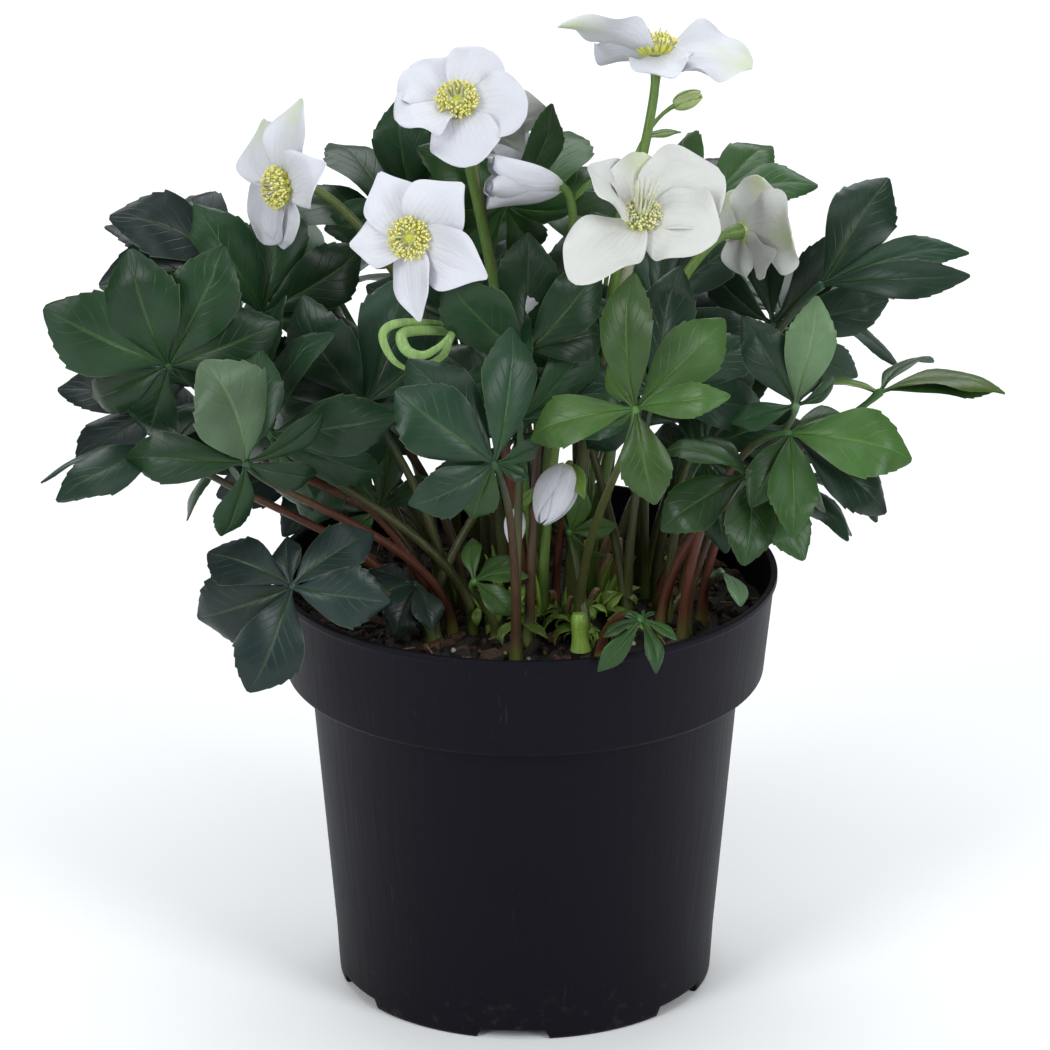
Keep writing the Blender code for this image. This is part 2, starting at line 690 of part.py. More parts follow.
def leaf_stalk(leaf, number, room):
    """Leaf moved to where its stalk finds room, and the path of that stalk."""
    for turn, out, up in HUB_NUDGES:
        moved = replace(leaf, azimuth=leaf.azimuth + turn, reach=leaf.reach + out, height=leaf.height + up)
        hub, ahead, _, face = leaf_frame(moved)
        arrival = leaf_arrival(ahead, face)
        path = find_stalk(room, compost_feet(hub, number), hub, arrival, LEAF_SWING,
                          LEAF_STALK_RADII, LEAF_STALK_SIDES, LEAF_STALK_STEPS)
        if path is not None:
            room.take(leaf.name, leaf_limb(path, arrival))
            return moved, path
    raise RuntimeError(f"no room for the stalk of {leaf.name}")


def make_leaf(leaf, number, path, room, material):
    """Compound leaf: its stalk, and the leaflets that find room, fused."""
    hub, ahead, _, face = leaf_frame(leaf)
    thing = add(leaf.name, leaf_limb(path, leaf_arrival(ahead, face)), material)
    shells = []
    for k in sorted(range(-LEAFLET_SIDE_COUNT, LEAFLET_SIDE_COUNT + 1), key=abs):
        if k in leaf.lost:
            continue
        for angle, rise, droop, length in leaflet_choices(leaf, number, k):
            out = Matrix.Rotation(math.radians(angle), 3, face) @ ahead
            trial = leaflet(hub, out, face, length, rise, droop, CLEAR)
            if room.clear_of(trial, leaf.name):
                shells.append(leaflet(hub, out, face, length, rise, droop))
                break
    combine(thing, shells, "UNION")
    room.take_object(thing)


def back_leaves():
    """Leaves behind, in tiers that spread evenly from one side to the other."""
    leaves = []
    for tier, count, first, last, reach, height, pitch, length in BACK_TIERS:
        for i in range(count):
            azimuth = first + (last - first) * i / (count - 1)
            leaves.append(Leaf(f"{tier}_{i + 1}", azimuth, reach, height, azimuth, pitch, azimuth,
                               BACK_FACE_RISE, length, BACK_LOST, BACK_SPREAD))
    return leaves


def main():
    """Builds the pot and the whole plant."""
    for thing in list(bpy.data.objects):
        bpy.data.objects.remove(thing, do_unlink=True)
    black_plastic = finish("black_plastic", (0.012, 0.012, 0.016), 0.38)
    dark_compost = finish("dark_compost", (0.030, 0.018, 0.012), 0.95)
    green_stock = finish("green_stock", (0.16, 0.20, 0.06), 0.60)
    leaf_green = finish("leaf_green", (0.030, 0.085, 0.032), 0.42)
    stalk_green = finish("stalk_green", (0.22, 0.30, 0.10), 0.45)
    white_petal = finish("white_petal", (0.86, 0.86, 0.84), 0.50)

    room = Room()
    room.take_object(make_pot(black_plastic))
    room.take_object(make_compost(dark_compost))
    room.take_object(make_rootstock(green_stock))
    for bloom in BLOOMS:
        make_bloom(bloom, room, white_petal, stalk_green)
    for bud in BUDS:
        make_bud(bud, room, white_petal)
    leaves = list(LEAVES) + back_leaves()
    placed = [leaf_stalk(leaf, number, room) for number, leaf in enumerate(leaves)]
    for number, (leaf, path) in enumerate(placed):
        make_leaf(leaf, number, path, room, leaf_green)


main()
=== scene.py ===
"""The looks of a potted Christmas rose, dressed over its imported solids.

Metres, +Z up, with the origin at the centre of the pot's underside. Azimuths are in degrees round
the pot's axis, 0 at +X and 90 at +Y. Leaves, blooms and stalks grow again by the rule that set
their solids: each solid's own corners tell which of the rule's choices it took, and the finer
surfaces follow the same lines within the same reach.
"""

import logging
import math
from dataclasses import dataclass, field
from enum import Enum
from functools import partial

import bpy
import numpy as np
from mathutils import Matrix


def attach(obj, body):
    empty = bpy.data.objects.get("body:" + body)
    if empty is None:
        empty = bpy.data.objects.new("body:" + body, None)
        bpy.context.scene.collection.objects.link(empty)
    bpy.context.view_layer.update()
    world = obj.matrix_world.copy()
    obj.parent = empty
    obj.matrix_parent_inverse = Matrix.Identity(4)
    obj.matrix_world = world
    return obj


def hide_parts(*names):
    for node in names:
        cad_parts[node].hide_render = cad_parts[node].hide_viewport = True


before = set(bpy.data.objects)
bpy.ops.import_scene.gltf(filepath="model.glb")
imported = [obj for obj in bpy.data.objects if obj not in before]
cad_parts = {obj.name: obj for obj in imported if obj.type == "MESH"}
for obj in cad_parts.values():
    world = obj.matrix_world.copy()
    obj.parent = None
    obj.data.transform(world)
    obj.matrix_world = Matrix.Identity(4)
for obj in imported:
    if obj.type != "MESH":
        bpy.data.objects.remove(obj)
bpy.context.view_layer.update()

Array = np.ndarray
LOG = logging.getLogger("christmas_rose")
BODY = "root"
EAST, NORTH, UP = np.eye(3)
MILLIMETRE = 0.001

# ---- Sizes shared with the solids ----------------------------------------------------------
SEED = 1403
SOIL_HEIGHT = 0.180
STOCK_LEVEL = 0.1896          # height of the flower stalks' feet, on the rootstock
LEAF_FOOT_LEVEL = 0.1803      # height of the leaf stalks' feet, on the compost
STOCK_CENTRE = (0.012, -0.012)
FAN_STEP = 46.0               # degrees between neighbouring leaflets
SIDE_SHORTENING = (1.0, 0.97, 0.90, 0.76)
LEAFLET_SIDE_COUNT = 3
BLADE_STAGGER = 7.0
BLADE_RISE = 14.0
BLADE_DROOP = 26.0
BLADE_START = 0.0009
JITTER_TURN = 5.0
JITTER_LENGTH = 0.06
JITTER_BEND = 2.5
LEAF_STALK_RADII = (0.0029, 0.0018)
LEAF_STALK_STEPS = 5
LEAF_SWING = 0.24
PETALS = 5
PETAL_CURL = 16.0
PETAL_TWIST = 11.0
BLOOM_STALK_RADII = (0.0028, 0.0020)
STALK_STEPS = 6
BLOOM_SWING = 0.14
BUD_SWING = 0.16
NECK = 0.0053                 # from a bloom's centre back to its stalk's tip
SWING_SCALES = (1.0, 0.6, 1.4)
HUB_NUDGES = ((0, 0, 0), (5, 0, 0), (-5, 0, 0), (0, 0, 0.010), (0, 0, -0.010), (0, -0.012, 0),
              (0, 0.010, 0), (9, -0.006, 0.006), (-9, -0.006, 0.006), (9, 0, -0.012), (-9, 0, -0.012))
TURN_SHIFTS = (0, 9, -9, 18, -18)
BEND_SHIFTS = (0, 14, -14, 28, -28)
LENGTH_SCALES = (1.0, 0.86, 0.72)
MATCH = 0.0003                # how near a solid's corner lies to where the rule puts it


class PetalCut(Enum):
    """Ways in which a bloom's petals are cut."""

    ROUND = "round"
    STAR = "star"
    BOWL = "bowl"


class Tone(Enum):
    """Plain base colours that are dealt by leaf, stalk or shoot."""

    DEEP_GREEN = (0.010, 0.037, 0.012)
    BLUE_GREEN = (0.012, 0.036, 0.018)
    SLATE = (0.011, 0.024, 0.020)
    MID_GREEN = (0.022, 0.064, 0.015)
    BRIGHT_GREEN = (0.044, 0.098, 0.021)
    SOFT_GREEN = (0.084, 0.140, 0.070)
    YELLOW_GREEN = (0.070, 0.125, 0.020)
    SHOOT_GREEN = (0.200, 0.320, 0.050)
    STALK_GREEN = (0.105, 0.180, 0.034)
    OLIVE = (0.052, 0.058, 0.016)
    RED_BROWN = (0.085, 0.027, 0.015)
    BROWN = (0.060, 0.034, 0.018)
    CREAM = (0.640, 0.640, 0.480)
    WHITE = (0.660, 0.660, 0.715)
    IVORY = (0.630, 0.632, 0.600)
    GREEN_WHITE = (0.380, 0.480, 0.200)
    POLLEN = (0.900, 0.850, 0.270)
    PALE_YELLOW = (0.820, 0.800, 0.460)
    CURL_GREEN = (0.220, 0.350, 0.110)
    NECTAR = (0.640, 0.640, 0.100)
    BARK_DARK = (0.010, 0.006, 0.004)
    BARK = (0.040, 0.020, 0.011)
    BARK_RED = (0.085, 0.036, 0.018)
    STRAW = (0.340, 0.220, 0.110)
    GRIT = (0.620, 0.600, 0.560)

    @property
    def colour(self) -> Array:
        """The tone as an array."""
        return np.array(self.value)


@dataclass(frozen=True)
class Cut:
    """How one leaflet differs from the rule's: its size, breadth, turn, rise and tone."""

    size: float = 1.0
    broad: float = 1.0
    turn: float = 0.0
    rise: float = 0.0
    tone: Tone | None = None


@dataclass(frozen=True)
class Leaf:
    """A compound leaf: where its hub is, where its middle leaflet points and its face looks."""

    name: str
    azimuth: float
    reach: float
    height: float
    heading: float
    pitch: float
    face: float
    face_rise: float
    length: float
    lost: tuple[int, ...] = ()
    spread: float = 1.0
    tone: Tone = Tone.BLUE_GREEN
    stalk: Tone = Tone.OLIVE
    broad: float = 1.0
    cuts: dict[int, Cut] = field(default_factory=dict)   # by the order in which leaflets are found


@dataclass(frozen=True)
class Bloom:
    """A bloom: where its centre is and faces, how long its petals are and how far they cup."""

    name: str
    azimuth: float
    reach: float
    height: float
    face: float
    face_rise: float
    petal: float
    cup: float
    spin: float
    tone: Tone = Tone.WHITE
    stalk: Tone = Tone.STALK_GREEN
    green: tuple[int, ...] = ()
    boss: float = 1.0
    pistils: tuple[int, float] = (6, 0.0115)
    pollen: Tone = Tone.POLLEN
    cut: PetalCut = PetalCut.ROUND
    lengths: tuple[float, ...] = (1.0, 1.0, 1.0, 1.0, 1.0)
    broads: tuple[float, ...] = (1.0, 1.0, 1.0, 1.0, 1.0)
    bends: tuple[float, ...] = (0.0, 0.0, 0.0, 0.0, 0.0)
    turns: tuple[float, ...] = (0.0, 0.0, 0.0, 0.0, 0.0)
    rolls: tuple[float, ...] = (0.0, 0.0, 0.0, 0.0, 0.0)
    bracts: int = 0
    neck: Tone = Tone.STALK_GREEN


@dataclass(frozen=True)
class Bud:
    """A bud at the tip of its stalk: where its base is, where it points, and its size."""

    name: str
    azimuth: float
    reach: float
    height: float
    heading: float
    pitch: float
    length: float
    width: float
    tone: Tone = Tone.WHITE
    open_share: float = 0.0
    green: float = 0.0
    stalk: Tone = Tone.STALK_GREEN
    slim: float = 1.0
    thin: float = 1.0


LEAVES = (
    Leaf("leaf_centre_bright", -68, 0.129, 0.318, 60, 74, -90, 30, 0.064, tone=Tone.BRIGHT_GREEN,
         broad=0.82,
         cuts={0: Cut(turn=10), 1: Cut(0.98, broad=1.1, turn=14, rise=10), 2: Cut(0.45, turn=10, rise=-30),
               3: Cut(0.86, broad=0.8, turn=14, rise=24), 4: Cut(0.95, broad=1.1, turn=20, rise=6),
               5: Cut(0.95, broad=1.2, turn=-20, rise=4), 6: Cut(0.4)}),
    Leaf("leaf_left_tall", -156, 0.172, 0.320, -150, 62, -105, 24, 0.066, tone=Tone.DEEP_GREEN,
         stalk=Tone.RED_BROWN, broad=1.12,
         cuts={0: Cut(0.97, turn=-5, rise=8), 1: Cut(0.97, broad=0.95, turn=-6, rise=-8),
               2: Cut(0.95, broad=1.1, turn=-14, rise=4), 3: Cut(0.88, rise=14),
               4: Cut(0.85, broad=0.7, rise=-10), 5: Cut(0.8), 6: Cut(0.8)}),
    Leaf("leaf_left_low", -156, 0.171, 0.281, 174, 17, -105, 84, 0.064, (2, 3), stalk=Tone.RED_BROWN,
         broad=0.75),
    Leaf("leaf_lower_left", -139, 0.137, 0.223, -144, -57, -105, 28, 0.060, (1,), tone=Tone.SLATE,
         broad=1.2,
         cuts={0: Cut(0.92), 1: Cut(0.95, rise=6), 2: Cut(0.9, rise=-6), 3: Cut(0.85, turn=14), 4: Cut(0.5),
               5: Cut(0.95, turn=18, rise=8)}),
    Leaf("leaf_left_light", -142, 0.156, 0.284, -161, 59, -97, 35, 0.062, (2,), tone=Tone.DEEP_GREEN,
         stalk=Tone.RED_BROWN, broad=0.95,
         cuts={0: Cut(0.95, broad=1.42, turn=-10, rise=4, tone=Tone.SOFT_GREEN), 1: Cut(0.85, rise=-14),
               2: Cut(0.9, broad=0.8, turn=8, rise=-8), 3: Cut(0.85, broad=0.7, rise=10),
               4: Cut(0.75, broad=0.8, rise=16), 5: Cut(0.8)}),
    Leaf("leaf_upper_left", 176, 0.132, 0.338, -171, 20, -112, 52, 0.066, (-3,), 0.6, tone=Tone.SLATE,
         stalk=Tone.BROWN,
         cuts={0: Cut(broad=0.95, turn=-6, rise=10), 1: Cut(broad=1.15, rise=-4),
               3: Cut(broad=0.85, rise=-12)}),
    Leaf("leaf_upper_right", 0, 0.133, 0.333, -12, 24, -72, 44, 0.074, (-1, -2, -3), 0.5, stalk=Tone.BROWN,
         broad=0.80,
         cuts={0: Cut(broad=0.6, turn=2, rise=-6), 1: Cut(broad=0.6, turn=-42, rise=4),
               2: Cut(0.95, broad=1.2), 3: Cut(broad=0.8, turn=-24, rise=-10)}),
    Leaf("leaf_far_right", -4, 0.160, 0.286, -4, 17, -90, 82, 0.062, (-3, -2, -1), 0.5, tone=Tone.MID_GREEN,
         stalk=Tone.RED_BROWN, broad=0.72,
         cuts={0: Cut(0.92, turn=-2, tone=Tone.YELLOW_GREEN), 1: Cut(0.9, turn=-20),
               2: Cut(0.85, broad=1.5, turn=118, rise=10, tone=Tone.YELLOW_GREEN)}),
    Leaf("leaf_right_low", -32, 0.138, 0.289, -14, -20, -80, 50, 0.066, (3,), 0.66, tone=Tone.MID_GREEN,
         stalk=Tone.RED_BROWN, broad=0.84,
         cuts={0: Cut(0.86, broad=1.25, turn=7, rise=4, tone=Tone.BRIGHT_GREEN),
               1: Cut(0.95, broad=1.2, turn=22, rise=-12, tone=Tone.BLUE_GREEN), 2: Cut(0.55, rise=-20),
               3: Cut(0.9, broad=0.9, turn=-8, rise=6), 4: Cut(0.6, rise=-24), 5: Cut(0.8, rise=10)}),
    Leaf("leaf_right_upright", -30, 0.138, 0.301, -146, 79, -84, 22, 0.056, tone=Tone.SOFT_GREEN,
         stalk=Tone.RED_BROWN, broad=0.80,
         cuts={0: Cut(0.92, turn=-17, rise=-4), 1: Cut(0.5, rise=-20, tone=Tone.DEEP_GREEN),
               2: Cut(0.86, broad=1.05, turn=-26, rise=8, tone=Tone.BLUE_GREEN),
               3: Cut(0.5, rise=-10, tone=Tone.DEEP_GREEN), 4: Cut(0.6, rise=10, tone=Tone.DEEP_GREEN),
               5: Cut(0.6, rise=-10, tone=Tone.DEEP_GREEN)}),
    Leaf("leaf_lower_right", -37, 0.124, 0.270, -107, -30, -84, 30, 0.048, tone=Tone.MID_GREEN,
         stalk=Tone.BROWN, broad=0.95, cuts={0: Cut(broad=1.1, turn=14, rise=10)}),
    Leaf("leaf_mid_front", -97, 0.111, 0.289, 165, 68, -97, 22, 0.062, tone=Tone.DEEP_GREEN,
         stalk=Tone.BROWN, broad=0.95,
         cuts={0: Cut(0.95, turn=14, rise=-10, tone=Tone.BLUE_GREEN),
               1: Cut(broad=0.8, turn=10, rise=6, tone=Tone.BLUE_GREEN),
               2: Cut(0.95, broad=1.2, turn=-10, rise=8, tone=Tone.BLUE_GREEN), 3: Cut(0.42),
               4: Cut(0.82, rise=10, tone=Tone.BLUE_GREEN), 5: Cut(0.35),
               6: Cut(0.62, broad=1.25, rise=16, tone=Tone.MID_GREEN)}),
    Leaf("leaf_left_upright", -159, 0.126, 0.283, -19, 62, -116, 22, 0.066, tone=Tone.DEEP_GREEN,
         broad=0.85, cuts={0: Cut(broad=0.8, turn=3, rise=8), 2: Cut(broad=0.8, rise=-12)}),
    Leaf("leaf_left_mid", -171, 0.163, 0.283, -174, 13, -135, 66, 0.054, tone=Tone.SLATE,
         stalk=Tone.RED_BROWN),
    Leaf("leaf_front_small", -65, 0.121, 0.215, -51, -45, -80, 30, 0.025, tone=Tone.MID_GREEN,
         stalk=Tone.RED_BROWN, broad=0.68,
         cuts={0: Cut(turn=-8, rise=-8), 1: Cut(1.25, turn=-14, rise=-12), 2: Cut(0.75),
               3: Cut(0.85, rise=10), 4: Cut(0.3), 5: Cut(0.4), 6: Cut(0.25)}),
    Leaf("leaf_top_mid", 104, 0.038, 0.359, 0, 79, -64, 20, 0.052, tone=Tone.MID_GREEN,
         cuts={0: Cut(1.05, broad=0.85, turn=-16, rise=6), 1: Cut(0.6)}),
    Leaf("leaf_top_left", 130, 0.081, 0.350, 180, 78, -90, 28, 0.052, (1,), tone=Tone.DEEP_GREEN),
    Leaf("leaf_top_right", 31, 0.096, 0.354, -4, 20, -70, 60, 0.052, (-1,), tone=Tone.MID_GREEN, broad=0.85,
         cuts={3: Cut(broad=1.1), 5: Cut(1.3, broad=1.25)}),
    Leaf("leaf_mid_high", -90, 0.060, 0.323, -161, 53, -105, 36, 0.056, tone=Tone.DEEP_GREEN,
         stalk=Tone.BROWN, cuts={1: Cut(broad=0.9, rise=-8), 2: Cut(0.4), 4: Cut(0.7)}),
    Leaf("leaf_left_inner", 178, 0.119, 0.318, 178, 60, -80, 24, 0.062, tone=Tone.DEEP_GREEN,
         stalk=Tone.BROWN),
    Leaf("leaf_centre_left", -150, 0.082, 0.292, -178, 64, -100, 30, 0.062),
    Leaf("leaf_right_skirt", -16, 0.111, 0.248, -18, -6, 20, 76, 0.056, (-2, -3, 2, 3), 0.6,
         stalk=Tone.RED_BROWN, broad=0.8),
)
INNER_LEAVES = (
    Leaf("inner_1", -40, 0.030, 0.300, -60, 70, -80, 24, 0.056, (3, -3), tone=Tone.DEEP_GREEN, broad=0.85),
    Leaf("inner_2", 10, 0.060, 0.318, 60, 66, -84, 30, 0.056, (3,), broad=0.8),
    Leaf("inner_3", -20, 0.085, 0.262, -20, 30, -84, 40, 0.054, (-3,), tone=Tone.DEEP_GREEN, broad=0.8),
    Leaf("inner_4", 60, 0.045, 0.290, 90, 60, -90, 34, 0.058, tone=Tone.DEEP_GREEN, broad=0.85),
    Leaf("inner_5", 140, 0.040, 0.305, 140, 62, -96, 32, 0.056, (-3,), broad=0.9),
    Leaf("inner_6", -178, 0.075, 0.262, 180, 40, -100, 38, 0.056, (3,), tone=Tone.DEEP_GREEN, broad=0.9),
    Leaf("inner_7", 20, 0.120, 0.300, 20, 52, -76, 36, 0.056, (-3,), broad=0.78),
    Leaf("inner_8", -100, 0.020, 0.268, -140, 66, -90, 20, 0.052, (3, -3), tone=Tone.DEEP_GREEN,
         broad=0.85),
    Leaf("inner_9", 35, 0.090, 0.248, 30, 20, -80, 46, 0.054, tone=Tone.DEEP_GREEN, broad=0.85),
    Leaf("inner_10", 160, 0.100, 0.240, 170, 18, -104, 46, 0.054, tone=Tone.SLATE, broad=0.85),
    Leaf("inner_11", -18, 0.093, 0.206, -60, -10, -60, 60, 0.024, (-3, -2, -1, 1, 2, 3),
         tone=Tone.SOFT_GREEN),
    Leaf("inner_12", -135, 0.070, 0.208, -150, 0, -90, 50, 0.026, (-3, -2, 3), tone=Tone.SLATE, broad=1.3),
    Leaf("inner_13", -112, 0.060, 0.212, -10, 10, -90, 46, 0.026, (-3, -2, 3), tone=Tone.BRIGHT_GREEN,
         broad=0.9),
    Leaf("inner_14", -60, 0.040, 0.228, -60, 60, -100, 30, 0.024, (-3, 3), tone=Tone.BRIGHT_GREEN,
         broad=0.8),
    Leaf("inner_15", -165, 0.068, 0.232, 150, 50, -100, 30, 0.036, (-3, 3), tone=Tone.MID_GREEN, broad=0.9),
    Leaf("inner_16", -92, 0.064, 0.292, 90, 74, -92, 18, 0.062, (-3, 3), tone=Tone.DEEP_GREEN, broad=0.75),
    Leaf("inner_17", -35, 0.070, 0.296, 60, 70, -84, 24, 0.060, (-3,), broad=0.8),
)
BACK_TIERS = (
    ("leaf_back_low", 4, 30, 150, 0.140, 0.236, -22, 0.060),
    ("leaf_back_mid", 5, 36, 158, 0.146, 0.290, 10, 0.064),
    ("leaf_back_high", 3, 46, 126, 0.090, 0.336, 34, 0.060),
)
BACK_FACE_RISE = 62.0
BACK_LOST = (-3, 3)
BACK_SPREAD = 1.2
BACK_TONES = (Tone.BLUE_GREEN, Tone.DEEP_GREEN, Tone.MID_GREEN, Tone.SLATE)

BLOOMS = (
    Bloom("bloom_front_left", -125, 0.086, 0.380, -108, 12, 0.038, 14, 32, stalk=Tone.RED_BROWN,
          cut=PetalCut.STAR, lengths=(0.85, 0.76, 1.0, 1.05, 0.92), turns=(0, 0, 14, 2, 0),
          broads=(1.08, 1.0, 0.72, 1.05, 1.16)),
    Bloom("bloom_front_right", -54, 0.086, 0.387, -76, 62, 0.043, 24, 0, tone=Tone.IVORY, green=(0,),
          boss=0.95, pistils=(12, 0.023), pollen=Tone.PALE_YELLOW, stalk=Tone.OLIVE, neck=Tone.CREAM,
          cut=PetalCut.BOWL, lengths=(0.75, 0.80, 1.08, 0.90, 1.0), bends=(10, 20, -26, 2, 6),
          turns=(0, -12, -18, 20, 4), broads=(1.0, 1.0, 0.85, 1.1, 1.0)),
    Bloom("bloom_top_left", 180, 0.030, 0.418, -94, 50, 0.035, 10, -22,
          lengths=(0.86, 0.90, 0.86, 0.95, 0.92), bends=(8, -6, 10, -4, 3),
          broads=(0.92, 0.95, 1.0, 0.9, 0.92), rolls=(6, -8, 8, -6, 8)),
    Bloom("bloom_far_left", -170, 0.108, 0.386, -150, 4, 0.041, 4, -9, green=(0, 1), stalk=Tone.OLIVE,
          cut=PetalCut.STAR, lengths=(1.0, 0.92, 1.06, 0.80, 0.85), turns=(10, -12, 6, -36, 24),
          rolls=(0, 0, -24, -28, 0), broads=(0.75, 1.1, 0.8, 0.9, 1.0)),
    Bloom("bloom_top_right", 0, 0.058, 0.441, 92, 62, 0.042, 9, 8, green=(1, 4), cut=PetalCut.BOWL,
          lengths=(0.66, 1.05, 0.80, 0.84, 1.18), bends=(-34, -12, 0, 0, 14),
          broads=(1.1, 1.15, 0.9, 0.9, 0.7), rolls=(0, 24, 0, 0, -10)),
    Bloom("bloom_right", -6, 0.097, 0.362, 35, -5, 0.034, 20, 10, tone=Tone.IVORY, green=(0, 1, 4),
          boss=0.7, cut=PetalCut.BOWL, lengths=(0.8, 0.95, 0.7, 0.75, 0.72),
          broads=(1.0, 1.2, 1.3, 1.3, 1.2)),
    Bloom("bloom_behind", 114, 0.048, 0.396, 70, 14, 0.027, 30, 0, tone=Tone.IVORY, stalk=Tone.OLIVE,
          lengths=(1.1, 1.3, 1.0, 1.0, 1.0), turns=(0, 24, 0, 0, 0), cut=PetalCut.STAR),
    Bloom("bloom_back_left", 100, 0.130, 0.338, 100, 24, 0.036, 18, 40, stalk=Tone.OLIVE, bracts=2),
)
BUDS = (
    Bud("bud_half_open", -33, 0.018, 0.383, -172, 8, 0.034, 0.021, open_share=0.35, slim=0.66, thin=0.9),
    Bud("bud_hanging", -73, 0.063, 0.268, -130, -50, 0.030, 0.017, stalk=Tone.RED_BROWN, slim=0.95,
        thin=0.7),
    Bud("bud_low", -95, 0.050, 0.243, -100, -72, 0.017, 0.009, green=0.5, slim=0.75, thin=0.6),
    Bud("bud_green", 16, 0.071, 0.412, 0, 24, 0.014, 0.009, tone=Tone.GREEN_WHITE, green=1.0, slim=0.62,
        thin=0.45),
    Bud("bud_nodding", -73, 0.042, 0.346, -150, -30, 0.032, 0.022, slim=0.85, thin=0.8),
)


# ---- Directions and lines --------------------------------------------------------------------
def unit(vectors: Array) -> Array:
    """Vectors divided by their lengths."""
    return vectors / np.linalg.norm(vectors, axis=-1, keepdims=True)


def direction(azimuth: float, rise: float) -> Array:
    """Unit vector at an azimuth and a rise over the level, both in degrees."""
    a, r = math.radians(azimuth), math.radians(rise)
    return np.array((math.cos(a) * math.cos(r), math.sin(a) * math.cos(r), math.sin(r)))


def spokes(turn: Array, first: Array = EAST, second: Array = NORTH) -> Array:
    """Unit vectors at these turns, in radians, from the first of two axes towards the second."""
    return first * np.cos(turn)[:, None] + second * np.sin(turn)[:, None]


def place(azimuth: float, reach: float, height: float) -> Array:
    """Point at a distance from the pot's axis and a height over the floor."""
    a = math.radians(azimuth)
    return np.array((reach * math.cos(a), reach * math.sin(a), height))


def blade_axes(ahead: Array, face: Array) -> tuple[Array, Array, Array]:
    """Squares up a blade's axes.

    Args:
        ahead: Direction from the root to the tip.
        face: Roughly where the upper face looks.

    Returns:
        The middle direction, the sideways direction (face x ahead) and the upper face.
    """
    ahead = unit(ahead)
    face = unit(face - ahead * (face @ ahead))
    return ahead, np.cross(face, ahead), face


def turn_about(vector: Array, axis: Array, degrees: float) -> Array:
    """Vector turned round a unit axis: v cos a + (axis x v) sin a + axis (axis.v)(1 - cos a)."""
    a = math.radians(degrees)
    along = axis * (axis @ vector) * (1 - math.cos(a))
    return vector * math.cos(a) + np.cross(axis, vector) * math.sin(a) + along


def bezier(corners: Array, steps: int) -> Array:
    """Points along cubic curves: the sum of the corners weighted by the Bernstein polynomials.

    Args:
        corners: The four corners, shaped (4, 3).
        steps: Number of equal steps along the curve.

    Returns:
        Points shaped (steps + 1, 3).
    """
    t = np.linspace(0.0, 1.0, steps + 1)[:, None]
    s = 1.0 - t
    weights = np.concatenate((s**3, 3 * s * s * t, 3 * s * t * t, t**3), axis=1)
    return weights @ corners


def through(points: Array, steps: int) -> Array:
    """Smooth line through its points: between p1 and p2 the Catmull-Rom cubic

    (2 p1 + (p2 - p0) s + (2 p0 - 5 p1 + 4 p2 - p3) s^2 + (3 p1 - p0 - 3 p2 + p3) s^3) / 2.

    Args:
        points: Points shaped (n, 3).
        steps: Number of equal steps along the line.

    Returns:
        Points shaped (steps + 1, 3).
    """
    padded = np.concatenate((points[:1], points, points[-1:]))
    t = np.linspace(0.0, len(points) - 1, steps + 1)
    first = np.minimum(t.astype(int), len(points) - 2)
    s = (t - first)[:, None]
    p0, p1, p2, p3 = (padded[first + k] for k in range(4))
    bend = (2 * p0 - 5 * p1 + 4 * p2 - p3) * s**2 + (3 * p1 - p0 - 3 * p2 + p3) * s**3
    return (2 * p1 + (p2 - p0) * s + bend) / 2


def stalk_corners(foot: Array, tip: Array, arrival: Array, swing_share: float) -> Array:
    """Corners of the curve that leaves its foot upright and comes into its tip along `arrival`."""
    rise = float(np.linalg.norm(tip - foot))
    climb = UP * (0.45 * max(tip[2] - foot[2], 0.4 * rise))
    return np.array((foot, foot + climb, tip - arrival * (swing_share * rise), tip))


def leaf_arrival(ahead: Array, face: Array) -> Array:
    """Direction in which a leaf's stalk comes into its hub."""
    return unit(ahead + 0.6 * face)


def smoothstep(x: Array, low: float, high: float) -> Array:
    """Smooth rise from 0 at `low` to 1 at `high`: 3 s^2 - 2 s^3."""
    s = np.clip((x - low) / (high - low), 0.0, 1.0)
    return s * s * (3 - 2 * s)


def lumps(points: Array, cell: float, seed: int, waves: int = 9) -> Array:
    """Rolling relief from -1 to 1: the mean of sines along directions drawn from a seed.

    Args:
        points: Points shaped (..., 3).
        cell: Rough size of a lump in metres.
        seed: Seed of the directions and phases.
        waves: Number of sines.

    Returns:
        One height for each point.
    """
    dice = np.random.default_rng(seed)
    ways = unit(dice.normal(size=(waves, 3))) * dice.uniform(0.6, 1.7, (waves, 1))
    phases = dice.uniform(0, 2 * math.pi, waves)
    return np.sin(points @ ways.T * (math.pi / cell) + phases).mean(axis=-1) * 1.8


# ---- Meshes ----------------------------------------------------------------------------------
def link(thing: bpy.types.Object) -> None:
    """Puts an object in the scene."""
    bpy.context.scene.collection.objects.link(thing)


